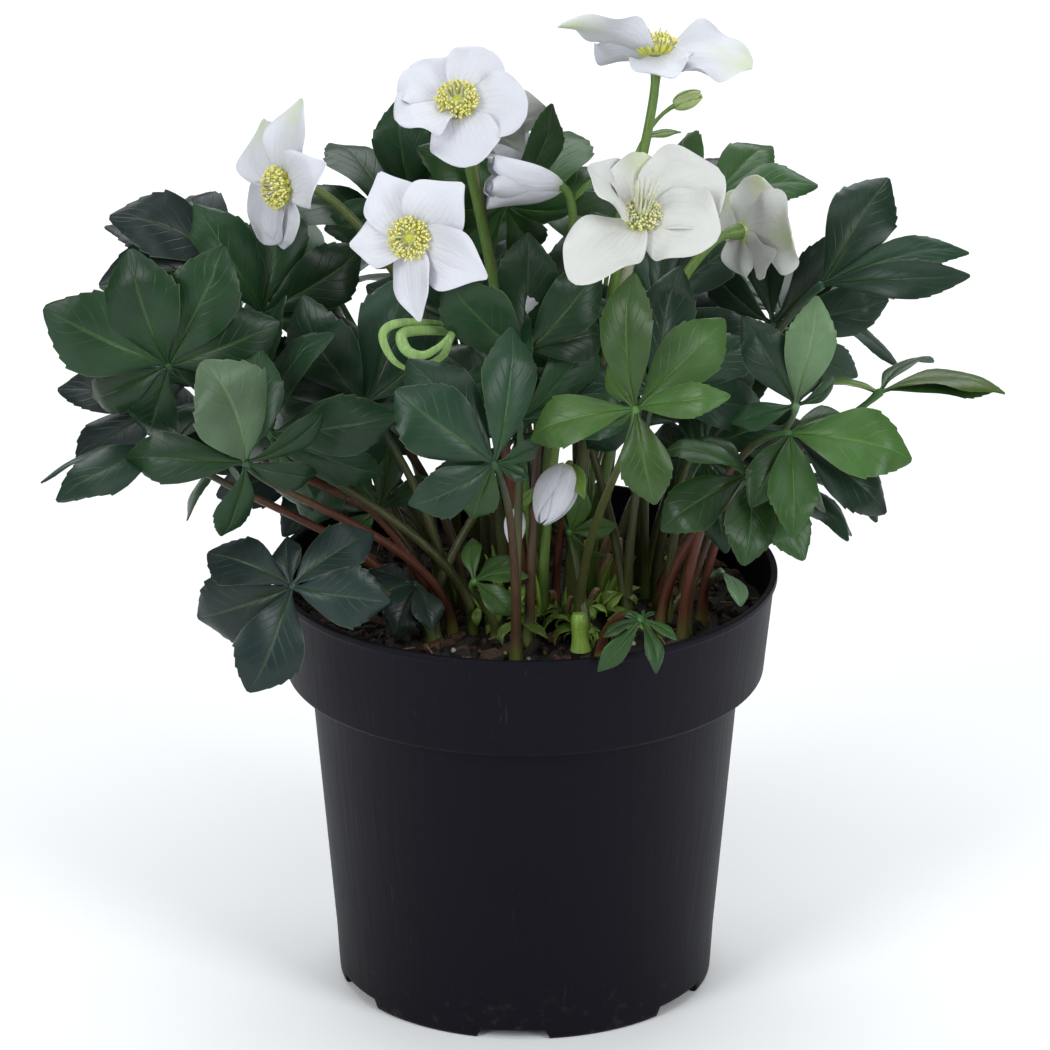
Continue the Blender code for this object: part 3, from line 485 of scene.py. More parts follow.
@dataclass
class Skin:
    """Gathers shapes made of rings into one mesh, with marks for its material at each corner."""

    name: str
    points: list[Array] = field(default_factory=list)
    quads: list[Array] = field(default_factory=list)
    fans: list[Array] = field(default_factory=list)
    tints: list[Array] = field(default_factory=list)
    lays: list[Array] = field(default_factory=list)
    count: int = 0

    def stack(self, rings: Array, tint: Array, lay: Array) -> None:
        """Adds closed shapes, each a stack of rings whose two ends close on a pole.

        A ring runs anticlockwise about the way the stack goes, so that its faces look outward.
        Each pole is the mean of its end ring.

        Args:
            rings: Points shaped (shapes, rows, columns, 3).
            tint: Colours that broadcast to (shapes, rows, columns, 3).
            lay: Marks that broadcast to (shapes, rows, columns, 3).
        """
        shapes, rows, columns, _ = rings.shape
        full = rows * columns
        size = full + 2
        base = self.count + np.arange(shapes)[:, None, None] * size
        i, j = np.meshgrid(np.arange(rows - 1), np.arange(columns), indexing="ij")
        k = (j + 1) % columns
        quad = np.stack((i * columns + j, i * columns + k, (i + 1) * columns + k, (i + 1) * columns + j), -1)
        self.quads.append((base + quad.reshape(1, -1, 4)).reshape(-1, 4))
        j, k = np.arange(columns), (np.arange(columns) + 1) % columns
        last = (rows - 1) * columns
        low = np.stack((np.full(columns, full), k, j), -1)
        high = np.stack((np.full(columns, full + 1), last + j, last + k), -1)
        self.fans.append((base + np.concatenate((low, high))[None]).reshape(-1, 3))
        for kept, values in ((self.points, rings), (self.tints, tint), (self.lays, lay)):
            values = np.broadcast_to(values, rings.shape)
            ends = values[:, (0, -1)].mean(axis=2)
            kept.append(np.concatenate((values.reshape(shapes, full, 3), ends), axis=1).reshape(-1, 3))
        self.count += shapes * size

    def mesh(self) -> bpy.types.Mesh:
        """The gathered shapes as one mesh that carries their colours and marks."""
        mesh = bpy.data.meshes.new(self.name)
        points = np.concatenate(self.points)
        quads, fans = np.concatenate(self.quads), np.concatenate(self.fans)
        corners = np.concatenate((quads.ravel(), fans.ravel()))
        starts = np.concatenate((np.arange(len(quads)) * 4, quads.size + np.arange(len(fans)) * 3))
        mesh.vertices.add(len(points))
        mesh.vertices.foreach_set("co", points.astype(np.float32).ravel())
        mesh.loops.add(len(corners))
        mesh.loops.foreach_set("vertex_index", corners.astype(np.int32))
        mesh.polygons.add(len(starts))
        mesh.polygons.foreach_set("loop_start", starts.astype(np.int32))
        mesh.update(calc_edges=True)
        for name, values in (("tint", self.tints), ("lay", self.lays)):
            mark = mesh.attributes.new(name, "FLOAT_VECTOR", "POINT")
            mark.data.foreach_set("vector", np.concatenate(values).astype(np.float32).ravel())
        mesh.validate()
        return mesh

    def build(self, finish: "Finish", slot: str, replaced: list[str],
              crease: float = 55.0) -> bpy.types.Object:
        """Makes the object, gives it its finish, and puts it on the body.

        Args:
            finish: The finish of the whole piece.
            slot: The record's material slot that it stands in. Not used.
            replaced: Names of the solids that it stands for.
            crease: Degrees over which an edge between two faces is shaded as an edge.

        Returns:
            The new object.
        """
        mesh = self.mesh()
        mesh.shade_smooth()
        mesh.set_sharp_from_angle(angle=math.radians(crease))
        piece = bpy.data.objects.new(self.name, mesh)
        link(piece)
        mesh.materials.append(finish.make())
        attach(piece, BODY)
        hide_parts(*replaced)
        triangles = sum(2 * len(quads) for quads in self.quads) + sum(len(fans) for fans in self.fans)
        LOG.info("%s: %d triangles for %s", self.name, triangles, ", ".join(replaced[:3]))
        return piece


def corners_of(node: str) -> Array:
    """The separate corners of a solid, shaped (corners, 3)."""
    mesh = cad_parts[node].data
    flat = np.zeros(len(mesh.vertices) * 3, np.float32)
    mesh.vertices.foreach_get("co", flat)
    return np.unique(np.round(flat.reshape(-1, 3).astype(float), 6), axis=0)


def foot_of(corners: Array, level: float) -> Array:
    """Middle of the ring of corners that a stalk's solid has at a level."""
    return corners[np.abs(corners[:, 2] - level) < 0.00005].mean(axis=0)


def ring_miss(corners: Array, path: Array, radii: tuple[float, float]) -> float:
    """How far a solid's corners are from the rings that a path would give it.

    The mean over the path's inner points of | distance to the nearest corners - radius |.
    """
    share = np.arange(1, len(path) - 1) / (len(path) - 1)
    radius = radii[0] + (radii[1] - radii[0]) * share
    gaps = np.linalg.norm(path[1:-1, None] - corners[None], axis=-1)
    nearest = np.sort(gaps, axis=1)[:, :4].mean(axis=1)
    return float(np.abs(nearest - radius).mean())


def tube(paths: Array, ends: Array, radii: Array, sides: int, dent: float = 0.0) -> Array:
    """Rings of round limbs: each point plus radius (1 - dent d) times a circle square to the path.

    d is a bell round one side, which gives a shallow groove along the limb. The circle's axes are
    carried from row to row without turning about the path.

    Args:
        paths: Points shaped (limbs, rows, 3).
        ends: Direction of each limb's last ring, shaped (limbs, 3).
        radii: Radii that broadcast to (limbs, rows).
        sides: Corners in a ring.
        dent: Depth of the groove as a share of the radius.

    Returns:
        Rings shaped (limbs, rows, sides, 3).
    """
    along = unit(np.gradient(paths, axis=1))
    along[:, -1] = ends
    side = np.zeros_like(paths)
    carried = np.broadcast_to(np.array((1.0, 0.0, 0.0)), ends.shape)
    for row in range(paths.shape[1]):
        way = along[:, row]
        carried = unit(carried - way * (carried * way).sum(-1, keepdims=True))
        side[:, row] = carried
    across = np.cross(along, side)
    turn = np.arange(sides) * (2 * math.pi / sides)
    bell = np.exp(-((np.mod(turn + math.pi / 2, 2 * math.pi) - math.pi) ** 2) / 0.35)
    circle = side[:, :, None] * np.cos(turn)[:, None] + across[:, :, None] * np.sin(turn)[:, None]
    radii = np.broadcast_to(radii, paths.shape[:2])
    return paths[:, :, None] + circle * (radii[:, :, None, None] * (1 - dent * bell)[:, None])


def arc(root: Array, ahead: Array, face: Array, length: Array, rise: Array, droop: Array,
        t: Array) -> tuple[Array, Array]:
    """Midlines that leave at `rise` and bend evenly to `-droop`, and the faces along them.

    With a(t) = rise - (rise + droop) t, a point is root + length times the integral of
    (ahead cos a + face sin a), and the local face is face cos a - ahead sin a.

    Args:
        root: Roots shaped (blades, 3).
        ahead: Middle directions, the same shape.
        face: Upper faces, the same shape.
        length: Lengths shaped (blades,).
        rise: Angles at the root in degrees.
        droop: Angles under the blade's plane at the tip in degrees.
        t: Shares of the length, shaped (blades, ...).

    Returns:
        Points and faces shaped (blades, ..., 3).
    """
    spread = (slice(None),) + (None,) * (t.ndim - 1)
    start, bend = np.radians(rise)[spread], np.radians(rise + droop)[spread]
    angle = start - bend * t
    forward = (np.sin(start) - np.sin(angle)) / bend
    upward = (np.cos(angle) - np.cos(start)) / bend
    wide = spread + (slice(None),)
    a, f = ahead[wide], face[wide]
    points = root[wide] + (a * forward[..., None] + f * upward[..., None]) * length[spread + (None,)]
    return points, f * np.cos(angle)[..., None] - a * np.sin(angle)[..., None]


@dataclass
class Blades:
    """A set of leaflets, petals or bracts that share one way of making, one row for each."""

    roots: list[Array] = field(default_factory=list)
    aheads: list[Array] = field(default_factory=list)
    sides: list[Array] = field(default_factory=list)
    faces: list[Array] = field(default_factory=list)
    lengths: list[float] = field(default_factory=list)
    rises: list[float] = field(default_factory=list)
    droops: list[float] = field(default_factory=list)
    tints: list[Array] = field(default_factory=list)
    broads: list[float] = field(default_factory=list)

    def add(self, root: Array, ahead: Array, side: Array, face: Array, length: float, rise: float,
            droop: float, tint: Array, broad: float = 1.0) -> None:
        """Adds one blade: root, axes, length, bend at root and tip in degrees, colour, width."""
        for kept, value in ((self.roots, root), (self.aheads, ahead), (self.sides, side),
                            (self.faces, face), (self.lengths, length), (self.rises, rise),
                            (self.droops, droop), (self.tints, tint), (self.broads, broad)):
            kept.append(value)

    def columns(self) -> tuple[Array, ...]:
        """The rows as arrays, in the order of `add`."""
        return tuple(np.array(kept, float) for kept in (
            self.roots, self.aheads, self.sides, self.faces, self.lengths, self.rises, self.droops,
            self.tints, self.broads))


# ---- Shader maths ----------------------------------------------------------------------------
@dataclass(frozen=True)
class Value:
    """A shader socket that stands in Python expressions, where each operator adds a Math node."""

    recipe: "Recipe"
    socket: bpy.types.NodeSocket

    def maths(self, operation: str, *parts: "Value | float") -> "Value":
        """Result of a Math node on these parts."""
        return self.recipe.node("ShaderNodeMath", {"operation": operation}, dict(enumerate(parts)))

    def __add__(self, other: "Value | float") -> "Value":
        """Sum."""
        return self.maths("ADD", self, other)

    def __radd__(self, other: float) -> "Value":
        """Sum with a number on the left."""
        return self.maths("ADD", other, self)

    def __sub__(self, other: "Value | float") -> "Value":
        """Difference."""
        return self.maths("SUBTRACT", self, other)

    def __rsub__(self, other: float) -> "Value":
        """Difference from a number on the left."""
        return self.maths("SUBTRACT", other, self)

    def __mul__(self, other: "Value | float") -> "Value":
        """Product."""
        return self.maths("MULTIPLY", self, other)

    def __rmul__(self, other: float) -> "Value":
        """Product with a number on the left."""
        return self.maths("MULTIPLY", other, self)

    def __abs__(self) -> "Value":
        """Size without sign."""
        return self.maths("ABSOLUTE", self)

    def fraction(self) -> "Value":
        """What is left over whole numbers."""
        return self.maths("FRACT", self)

    def over(self, level: float) -> "Value":
        """One where the value is over a level, and zero elsewhere."""
        return self.maths("GREATER_THAN", self, level)

    def band(self, low: float, high: float) -> "Value":
        """Smooth step from 0 at `low` to 1 at `high`."""
        settings = {"interpolation_type": "SMOOTHSTEP"}
        return self.recipe.node("ShaderNodeMapRange", settings, {0: self, 1: low, 2: high, 3: 0.0, 4: 1.0})


class Recipe:
    """A material under construction."""

    def __init__(self, name: str) -> None:
        """Starts a material with an empty node tree."""
        self.material = bpy.data.materials.new(name)
        self.material.use_nodes = True
        self.tree = self.material.node_tree
        self.tree.nodes.clear()

    def node(self, kind: str, settings: dict[str, object], inputs: dict[object, object],
             output: object = 0) -> Value:
        """Adds one node.

        Args:
            kind: The node's type.
            settings: Properties set before its sockets are filled.
            inputs: Values or links by socket name or number.
            output: Name or number of the wanted output.

        Returns:
            The wanted output.
        """
        made = self.tree.nodes.new(kind)
        for name, value in settings.items():
            setattr(made, name, value)
        for key, value in inputs.items():
            socket = made.inputs[key]
            if isinstance(value, Value):
                self.tree.links.new(value.socket, socket)
            elif isinstance(value, tuple) and len(value) == 3 and socket.type == "RGBA":
                socket.default_value = (*value, 1.0)
            else:
                socket.default_value = value
        return Value(self, made.outputs[output])

    def mark(self, name: str, output: str = "Vector") -> Value:
        """A point attribute of the mesh."""
        return self.node("ShaderNodeAttribute", {"attribute_name": name}, {}, output)

    def part(self, vector: Value, axis: int) -> Value:
        """One component of a vector."""
        return self.node("ShaderNodeSeparateXYZ", {}, {0: vector}, axis)

    def place(self, stretch: tuple[float, float, float] = (1.0, 1.0, 1.0)) -> Value:
        """The point in the object's own coordinates, stretched along its axes."""
        spot = self.node("ShaderNodeTexCoord", {}, {}, "Object")
        if stretch == (1.0, 1.0, 1.0):
            return spot
        return self.node("ShaderNodeVectorMath", {"operation": "MULTIPLY"}, {0: spot, 1: stretch})

    def noise(self, cell: float, detail: float = 3.0, spot: Value | None = None) -> Value:
        """Cloudy pattern from 0 to 1 whose lumps are about `cell` metres across."""
        return self.node("ShaderNodeTexNoise", {}, {"Vector": spot or self.place(), "Scale": 1.0 / cell,
                                                    "Detail": detail, "Roughness": 0.55}, 0)

    def cells(self, cell: float) -> Value:
        """Distance to the nearest of the middles of cells about `cell` metres across."""
        return self.node("ShaderNodeTexVoronoi", {"feature": "F1"},
                         {"Vector": self.place(), "Scale": 1.0 / cell}, "Distance")

    def mix(self, share: "Value | float", first: "Value | tuple", second: "Value | tuple") -> Value:
        """Colour between two colours."""
        return self.node("ShaderNodeMix", {"data_type": "RGBA"}, {0: share, 6: first, 7: second}, 2)

    def shade(self, colour: Value, amount: "Value | float") -> Value:
        """Colour times a number."""
        return self.node("ShaderNodeVectorMath", {"operation": "SCALE"}, {0: colour, "Scale": amount})

    def bump(self, height: Value, depth: float) -> Value:
        """Normal of a surface with this relief, `depth` metres deep."""
        return self.node("ShaderNodeBump", {}, {"Height": height, "Distance": depth, "Strength": 1.0})

    def surface(self, inputs: dict[str, object]) -> bpy.types.Material:
        """Ends the material on a Principled shader with these sockets."""
        shader = self.node("ShaderNodeBsdfPrincipled", {}, inputs)
        end = self.tree.nodes.new("ShaderNodeOutputMaterial")
        self.tree.links.new(shader.socket, end.inputs["Surface"])
        return self.material


MADE: dict[str, bpy.types.Material] = {}


@dataclass(frozen=True)
class Finish:
    """A named finish, made once and shared by the pieces that have it."""

    name: str

    def make(self) -> bpy.types.Material:
        """The finish's material."""
        if self.name not in MADE:
            MADE[self.name] = self.mix_up(Recipe(self.name))
        return MADE[self.name]

    def mix_up(self, r: Recipe) -> bpy.types.Material:
        """Builds the material's nodes."""
        raise NotImplementedError


@dataclass(frozen=True)
class LeafSkin(Finish):
    """Leathery leaf: pale ribs in a groove, glossy upper side and dull, paler underside."""

    vein_count: float = 8.0
    gloss: float = 0.29

    def mix_up(self, r: Recipe) -> bpy.types.Material:
        """Ribs from the blade's own coordinates over clouded green."""
        tint, lay = r.mark("tint"), r.mark("lay")
        across, along, mark = (r.part(lay, axis) for axis in range(3))
        out = abs(across)
        cloud = r.noise(0.018, 3.0)
        fine = r.noise(0.0020, 3.0)
        upper = mark.over(0.0)
        rib = (1 - out.band(0.015, 0.065)) * (1.0 - along * 0.8)
        glow = (1 - out.band(0.02, 0.55)) * (1 - along.band(0.02, 0.55))
        branch = abs(((along - out * 0.34 + cloud * 0.06) * self.vein_count).fraction() - 0.5)
        branches = (1 - branch.band(0.01, 0.09)) * (1 - out * 0.95) * along.band(0.02, 0.2)
        rim = out.band(0.972, 0.998)
        flat = r.shade(tint, cloud * 0.75 + fine * 0.2 + 0.52)
        dark = r.mix(r.noise(0.034, 2.0).band(0.50, 0.72) * 0.55, flat, r.shade(tint, 0.5))
        pale = r.mix(0.45, r.shade(tint, 2.6), (0.16, 0.24, 0.06))
        lit = r.mix(glow * 0.42, dark, r.mix(0.3, r.shade(tint, 2.0), (0.11, 0.17, 0.02)))
        ribbed = r.mix(rib * 0.5, r.mix(branches * 0.08, lit, pale), pale)
        rimmed = r.mix(rim * 0.45, ribbed, (0.17, 0.20, 0.08))
        spots = r.noise(0.0042, 2.0).band(0.71, 0.77)
        above = r.mix(spots * 0.5, rimmed, (0.05, 0.035, 0.02))
        under_flat = r.mix(0.55, flat, (0.092, 0.135, 0.078))
        under = r.mix(rib * 0.6 + branches * 0.3, under_flat, (0.20, 0.28, 0.12))
        relief = fine * 0.10 + cloud * 0.45 - branches * 0.24 - rib * 0.6
        return r.surface({
            "Base Color": r.mix(upper, under, above),
            "Roughness": (1 - upper) * 0.26 + cloud * 0.16 + self.gloss,
            "Normal": r.bump(relief * (upper * 1.6 - 0.6), 0.0005),
            "IOR": 1.36,
        })


@dataclass(frozen=True)
class StalkSkin(Finish):
    """Ribbed, fleshy stalk with fine dark speckles."""

    speckle: tuple[float, float, float] = (0.055, 0.012, 0.012)

    def mix_up(self, r: Recipe) -> bpy.types.Material:
        """Long streaks and speckles over the stalk's own colour."""
        tint = r.mark("tint")
        streak = r.noise(0.0016, 2.0, r.place((1.0, 1.0, 0.10)))
        cloud = r.noise(0.009, 2.0)
        speckles = (1 - r.cells(0.0011).band(0.16, 0.32)) * cloud.band(0.42, 0.62)
        base = r.shade(tint, streak * 0.7 + cloud * 0.5 + 0.45)
        return r.surface({
            "Base Color": r.mix(speckles * 0.75, base, self.speckle),
            "Roughness": streak * 0.15 + 0.33,
            "Normal": r.bump(streak * 0.8 + speckles * 0.1, 0.0004),
            "IOR": 1.42,
        })


@dataclass(frozen=True)
class PetalSkin(Finish):
    """White petal with faint lengthwise veins, green in its throat and where it is marked."""

    def mix_up(self, r: Recipe) -> bpy.types.Material:
        """Veins fan from the petal's foot; the flush follows the mark of each petal."""
        tint, lay = r.mark("tint"), r.mark("lay")
        across, along, mark = (r.part(lay, axis) for axis in range(3))
        out = abs(across)
        cloud = r.noise(0.012, 3.0)
        fine = r.noise(0.0016, 3.0)
        lines = abs((across * 5.5 + (cloud - 0.5) * 1.6).fraction() - 0.5)
        veins = (1 - lines.band(0.01, 0.14)) * (1 - along.band(0.35, 0.95)) * (1 - out * 0.5)
        throat = 1 - along.band(0.02, 0.20)
        flush = (abs(mark) - 1.0).band(0.0, 1.0) * (along + cloud * 0.9 - out * 0.3).band(0.75, 1.45)
        clean = r.shade(tint, cloud * 0.08 + fine * 0.03 + 0.94)
        veined = r.mix(veins * 0.10, clean, (0.55, 0.60, 0.42))
        green = r.mix(flush * 0.55 + throat * 0.45, veined, (0.46, 0.56, 0.18))
        return r.surface({
            "Base Color": green,
            "Roughness": cloud * 0.1 + 0.45,
            "Normal": r.bump(cloud * 0.8 + fine * 0.08 - veins * 0.15, 0.0009),
            "Subsurface Weight": 0.18,
            "Subsurface Radius": (0.004, 0.0038, 0.0036),
            "Subsurface Scale": 1.0,
            "IOR": 1.36,
        })


@dataclass(frozen=True)
class Powdered(Finish):
    """Stamens, pistils and honey cups: small matt parts in their own colours."""

    grain: float = 0.0004
    rough: float = 0.6

    def mix_up(self, r: Recipe) -> bpy.types.Material:
        """Fine grain over the part's own colour."""
        grain = r.noise(self.grain, 2.0)
        return r.surface({
            "Base Color": r.shade(r.mark("tint"), grain * 0.5 + 0.72),
            "Roughness": grain * 0.2 + self.rough,
            "Normal": r.bump(grain, self.grain * 0.5),
            "Subsurface Weight": 0.08,
            "Subsurface Radius": (0.002, 0.0016, 0.0006),
            "Subsurface Scale": 1.0,
        })


@dataclass(frozen=True)
class PotPlastic(Finish):
    """Thin black moulded plastic with upright flow lines, rubbed patches and a little dust."""

    black: tuple[float, float, float] = (0.0050, 0.0045, 0.0066)

    def mix_up(self, r: Recipe) -> bpy.types.Material:
        """Flow lines run up the wall, and dust gathers low down."""
        spot = r.place()
        height = r.part(spot, 2)
        flow = r.noise(0.0042, 3.0, r.place((1.0, 1.0, 0.06)))
        skin = r.noise(0.0011, 2.0)
        cloud = r.noise(0.045, 4.0)
        scratches = r.noise(0.0022, 2.0, r.place((1.0, 1.0, 0.03))).band(0.68, 0.74)
        rubbed = scratches * cloud.band(0.50, 0.66)
        dust = (r.noise(0.0060, 5.0).band(0.55, 0.78)) * (1 - height.band(0.004, 0.030)) * 0.5
        base = r.mix(cloud.band(0.4, 0.75) * 0.5, self.black, (0.0045, 0.0045, 0.0065))
        worn = r.mix(rubbed * 0.5, base, (0.030, 0.030, 0.036))
        return r.surface({
            "Base Color": r.mix(dust, worn, (0.055, 0.042, 0.032)),
            "Roughness": cloud * 0.10 + skin * 0.06 + rubbed * 0.12 + dust * 0.2 + 0.42,
            "Normal": r.bump(flow * 0.7 + skin * 0.10, 0.0003),
            "Specular IOR Level": 0.105,
            "Specular Tint": (0.76, 0.72, 1.0, 1.0),
        })


@dataclass(frozen=True)
class Earth(Finish):
    """Moist peat, bark chips, fibres and grit in their own colours."""

    def mix_up(self, r: Recipe) -> bpy.types.Material:
        """Crumbs over the part's own colour."""
        crumbs = r.noise(0.0014, 5.0)
        wet = r.noise(0.012, 2.0)
        return r.surface({
            "Base Color": r.shade(r.mark("tint"), crumbs * 1.1 + 0.45),
            "Roughness": wet * 0.25 + 0.62,
            "Normal": r.bump(crumbs, 0.0012),
        })


@dataclass(frozen=True)
class StudioPaper(Finish):
    """Pale seamless paper."""

    tone: float = 0.97

    def mix_up(self, r: Recipe) -> bpy.types.Material:
        """Faint fibre over near-white."""
        fibre = r.noise(0.004, 3.0)
        white = (self.tone, self.tone, self.tone)
        return r.surface({"Base Color": r.mix(fibre * 0.03, white, (0.93, 0.93, 0.93)), "Roughness": 0.9,
                          "Specular IOR Level": 0.1})


LEAF_SKIN = LeafSkin("leaf_skin")
STALK_SKIN = StalkSkin("stalk_skin")
PETAL_SKIN = PetalSkin("petal_skin")
POWDERED = Powdered("stamen_powder")
POT_PLASTIC = PotPlastic("pot_plastic_black")
EARTH = Earth("peat_and_bark")
PAPER = StudioPaper("studio_paper")


# ---- Blades ----------------------------------------------------------------------------------
@dataclass(frozen=True)
class BladePlan:
    """How thin blades are cut and bent. Shares are of the blade's length or of its half width."""

    width: float                # greatest width over length
    widest: float               # share of the length where it is widest
    fullness: float             # under 1 gives a rounder outline
    root: float                 # least half width in metres
    thick: float                # thickness in metres
    fold: float = 0.0           # how far the edges stand over the midrib near the root
    arch: float = 0.0           # how far the edges bend down
    wave: float = 0.0           # how far the edges rise and fall
    waves: float = 2.0          # waves along an edge
    groove: float = 0.0         # depth of the midrib's groove, in metres
    ridge: float = 0.0          # height of the rib underneath, in metres
    tooth: float = 0.0          # how far teeth stand out from the edge
    teeth: int = 0
    tooth_start: float = 0.46
    sickle: float = 0.0         # sideways curve
    tip_curl: float = 0.0       # how far the tip bends beyond the plain arc
    point: float = 0.0          # how far the outline draws in to a pointed tip
    crease: float = 0.0         # depth of soft lengthwise folds, over the half width
    rows: int = 18
    tops: tuple[float, ...] = (1.0, 0.86, 0.6, 0.33, 0.09, 0.0, -0.09, -0.33, -0.6, -0.86, -1.0)
    unders: tuple[float, ...] = (-0.6, -0.1, 0.0, 0.1, 0.6)


def blade_rows(plan: BladePlan) -> tuple[Array, Array, Array]:
    """Where the rows of a blade stand.

    Args:
        plan: How the blade is cut.

    Returns:
        Shares of the length, how far up its tooth each row is (0 at a notch, 1 at a point), and
        the number of that tooth.
    """
    if not plan.teeth:
        t = np.linspace(0.0, 1.0, plan.rows + 1)[:-1] ** 0.92
        t = np.append(t, 0.988)
        return t, np.zeros_like(t), np.zeros(len(t), int)
    base = np.linspace(0.0, plan.tooth_start, 9)[:-1]
    period = (0.965 - plan.tooth_start) / plan.teeth
    number = np.repeat(np.arange(plan.teeth), 3)
    step = np.tile((0.0, 0.5, 0.84), plan.teeth)
    climb = np.tile((0.0, 0.5, 1.0), plan.teeth)
    t = np.concatenate((base, plan.tooth_start + (number + step) * period, (0.985,)))
    climb = np.concatenate((np.zeros(8), climb, (0.0,)))
    number = np.concatenate((np.zeros(8, int), number, (plan.teeth - 1,)))
    return t, climb, number


def blade_rings(blades: Blades, plan: BladePlan, seed: int, marks: Array | None = None
                ) -> tuple[Array, Array, Array]:
    """Rings of thin closed blades, one ring at each share t of the length.

    The half width is h = max(root, width L sin(pi t^p)^fullness / 2), with p set so that it is
    greatest at `widest`. A point at share u of it stands at the midline + side h u + up h (fold
    (1 - t) |u| - arch u^2 + wave |u|^3 sin(waves)) + half the thickness up or down, less the
    groove above and the ridge below at u = 0.

    Args:
        blades: The blades' roots, axes, lengths and bends.
        plan: How they are cut.
        seed: Seed of what differs from blade to blade.
        marks: A number from 0 to 1 for each blade, which its material reads.

    Returns:
        Rings shaped (blades, rows, columns, 3), their colours, and their marks for the material:
        share u, share t, and 1 plus the blade's mark above or the negative of it below.
    """
    roots, aheads, sides, faces, lengths, rises, droops, tints, broads = blades.columns()
    dice = np.random.default_rng(seed)
    count = len(roots)
    t, climb, number = blade_rows(plan)
    points, ups = arc(roots, aheads, faces, lengths, rises, droops, np.broadcast_to(t, (count, len(t))))
    u = np.array(plan.tops + plan.unders)
    above = np.array([1.0] * len(plan.tops) + [-1.0] * len(plan.unders))
    edge = np.abs(u) >= 1.0
    size = lengths[:, None]
    power = math.log(0.5) / math.log(plan.widest)
    half = 0.5 * plan.width * size * np.sin(math.pi * t**power) ** plan.fullness
    half = half * (1 - plan.point * smoothstep(t, 0.55, 1.0))
    half = half * broads[:, None] * dice.uniform(0.93, 1.07, (count, 1))
    half = np.maximum(half, plan.root * (1 - smoothstep(t, 0.15, 0.4)) + 0.0002)
    cut = dice.uniform(0.35, 1.0, (count, 2, max(plan.teeth, 1)))
    toothed = cut[:, (u < 0).astype(int)][:, :, number].transpose(0, 2, 1) * climb[None, :, None]
    toothed = toothed * plan.tooth * np.abs(u) ** 4
    h = half[:, :, None] * (1 + toothed)
    phase = dice.uniform(0, 2 * math.pi, (count, 2))[:, (u < 0).astype(int)][:, None]
    ripple = np.sin(2 * math.pi * plan.waves * t[None, :, None] + phase) * np.abs(u) ** 3 * plan.wave
    fold = plan.fold * dice.uniform(0.6, 1.3, (count, 1, 1)) * (1 - t)[None, :, None] * np.abs(u)
    bend = plan.arch * dice.uniform(0.4, 1.5, (count, 1, 1)) * u**2
    pleat = plan.crease * np.sin(u * 9.0 + phase * 2) * np.sin(math.pi * t)[None, :, None]
    lift = h * (fold - bend + ripple + pleat)
    skin = np.where(edge, 0.0, 0.5 * plan.thick) * above
    rib = np.exp(-((u / 0.07) ** 2)) * smoothstep(1.0 - t, 0.0, 0.5)[:, None]
    skin = skin + rib[None] * np.where(above > 0, -plan.groove, -plan.ridge)
    sweep = plan.sickle * dice.uniform(-1, 1, (count, 1)) * size * np.sin(math.pi * t) * t
    curl = plan.tip_curl * dice.uniform(0.2, 1.0, (count, 1)) * size * smoothstep(t, 0.72, 1.0)
    along = np.cross(sides[:, None], ups)
    rings = (points[:, :, None] + sides[:, None, None] * (h * u + sweep[:, :, None])[..., None]
             + ups[:, :, None] * (lift + skin - curl[:, :, None])[..., None]
             + along[:, :, None] * (toothed * half[:, :, None] * 0.5)[..., None])
    mark = np.zeros(count) if marks is None else marks
    lay = np.stack(np.broadcast_arrays(u[None, None], t[None, :, None],
                                       np.where(edge, 0.0, above) * (1 + mark[:, None, None])), -1)
    return rings, tints[:, None, None], lay


LEAFLET = BladePlan(0.52, 0.60, 0.86, 0.0009, 0.0007, fold=0.34, arch=0.16, wave=0.10, waves=1.7,
                    groove=0.0004, ridge=0.0008, tooth=0.085, teeth=5, tooth_start=0.58, sickle=0.05,
                    tip_curl=0.08, point=0.22)
PETAL_TOPS = (1.0, 0.93, 0.8, 0.6, 0.4, 0.2, 0.0, -0.2, -0.4, -0.6, -0.8, -0.93, -1.0)
PETAL_UNDERS = (-0.8, -0.4, 0.0, 0.4, 0.8)
petal_plan = partial(BladePlan, rows=24, tops=PETAL_TOPS, unders=PETAL_UNDERS)
PETAL_PLANS = {
    PetalCut.ROUND: petal_plan(1.08, 0.60, 0.54, 0.0040, 0.0007, arch=-0.08, wave=0.16, waves=1.9,
                               sickle=0.04, tip_curl=0.04, point=0.08, crease=0.022),
    PetalCut.STAR: petal_plan(0.80, 0.50, 0.62, 0.0040, 0.0007, arch=-0.16, wave=0.15, waves=1.4,
                              sickle=0.09, tip_curl=0.08, point=0.50, crease=0.030),
    PetalCut.BOWL: petal_plan(1.00, 0.56, 0.55, 0.0026, 0.0007, arch=-0.20, wave=0.16, waves=1.8,
                              sickle=0.08, tip_curl=0.05, point=0.30, crease=0.030),
}
SPROUT = BladePlan(0.36, 0.50, 0.8, 0.0008, 0.0006, fold=0.3, arch=0.2, wave=0.2, waves=1.5, sickle=0.25,
                   tip_curl=0.15, point=0.3, rows=9)
BRACT = BladePlan(0.42, 0.42, 0.8, 0.0012, 0.0007, fold=0.25, arch=0.2, wave=0.10, waves=1.5,
                  groove=0.0002, ridge=0.0004, sickle=0.10, tip_curl=0.10, point=0.3, rows=10)


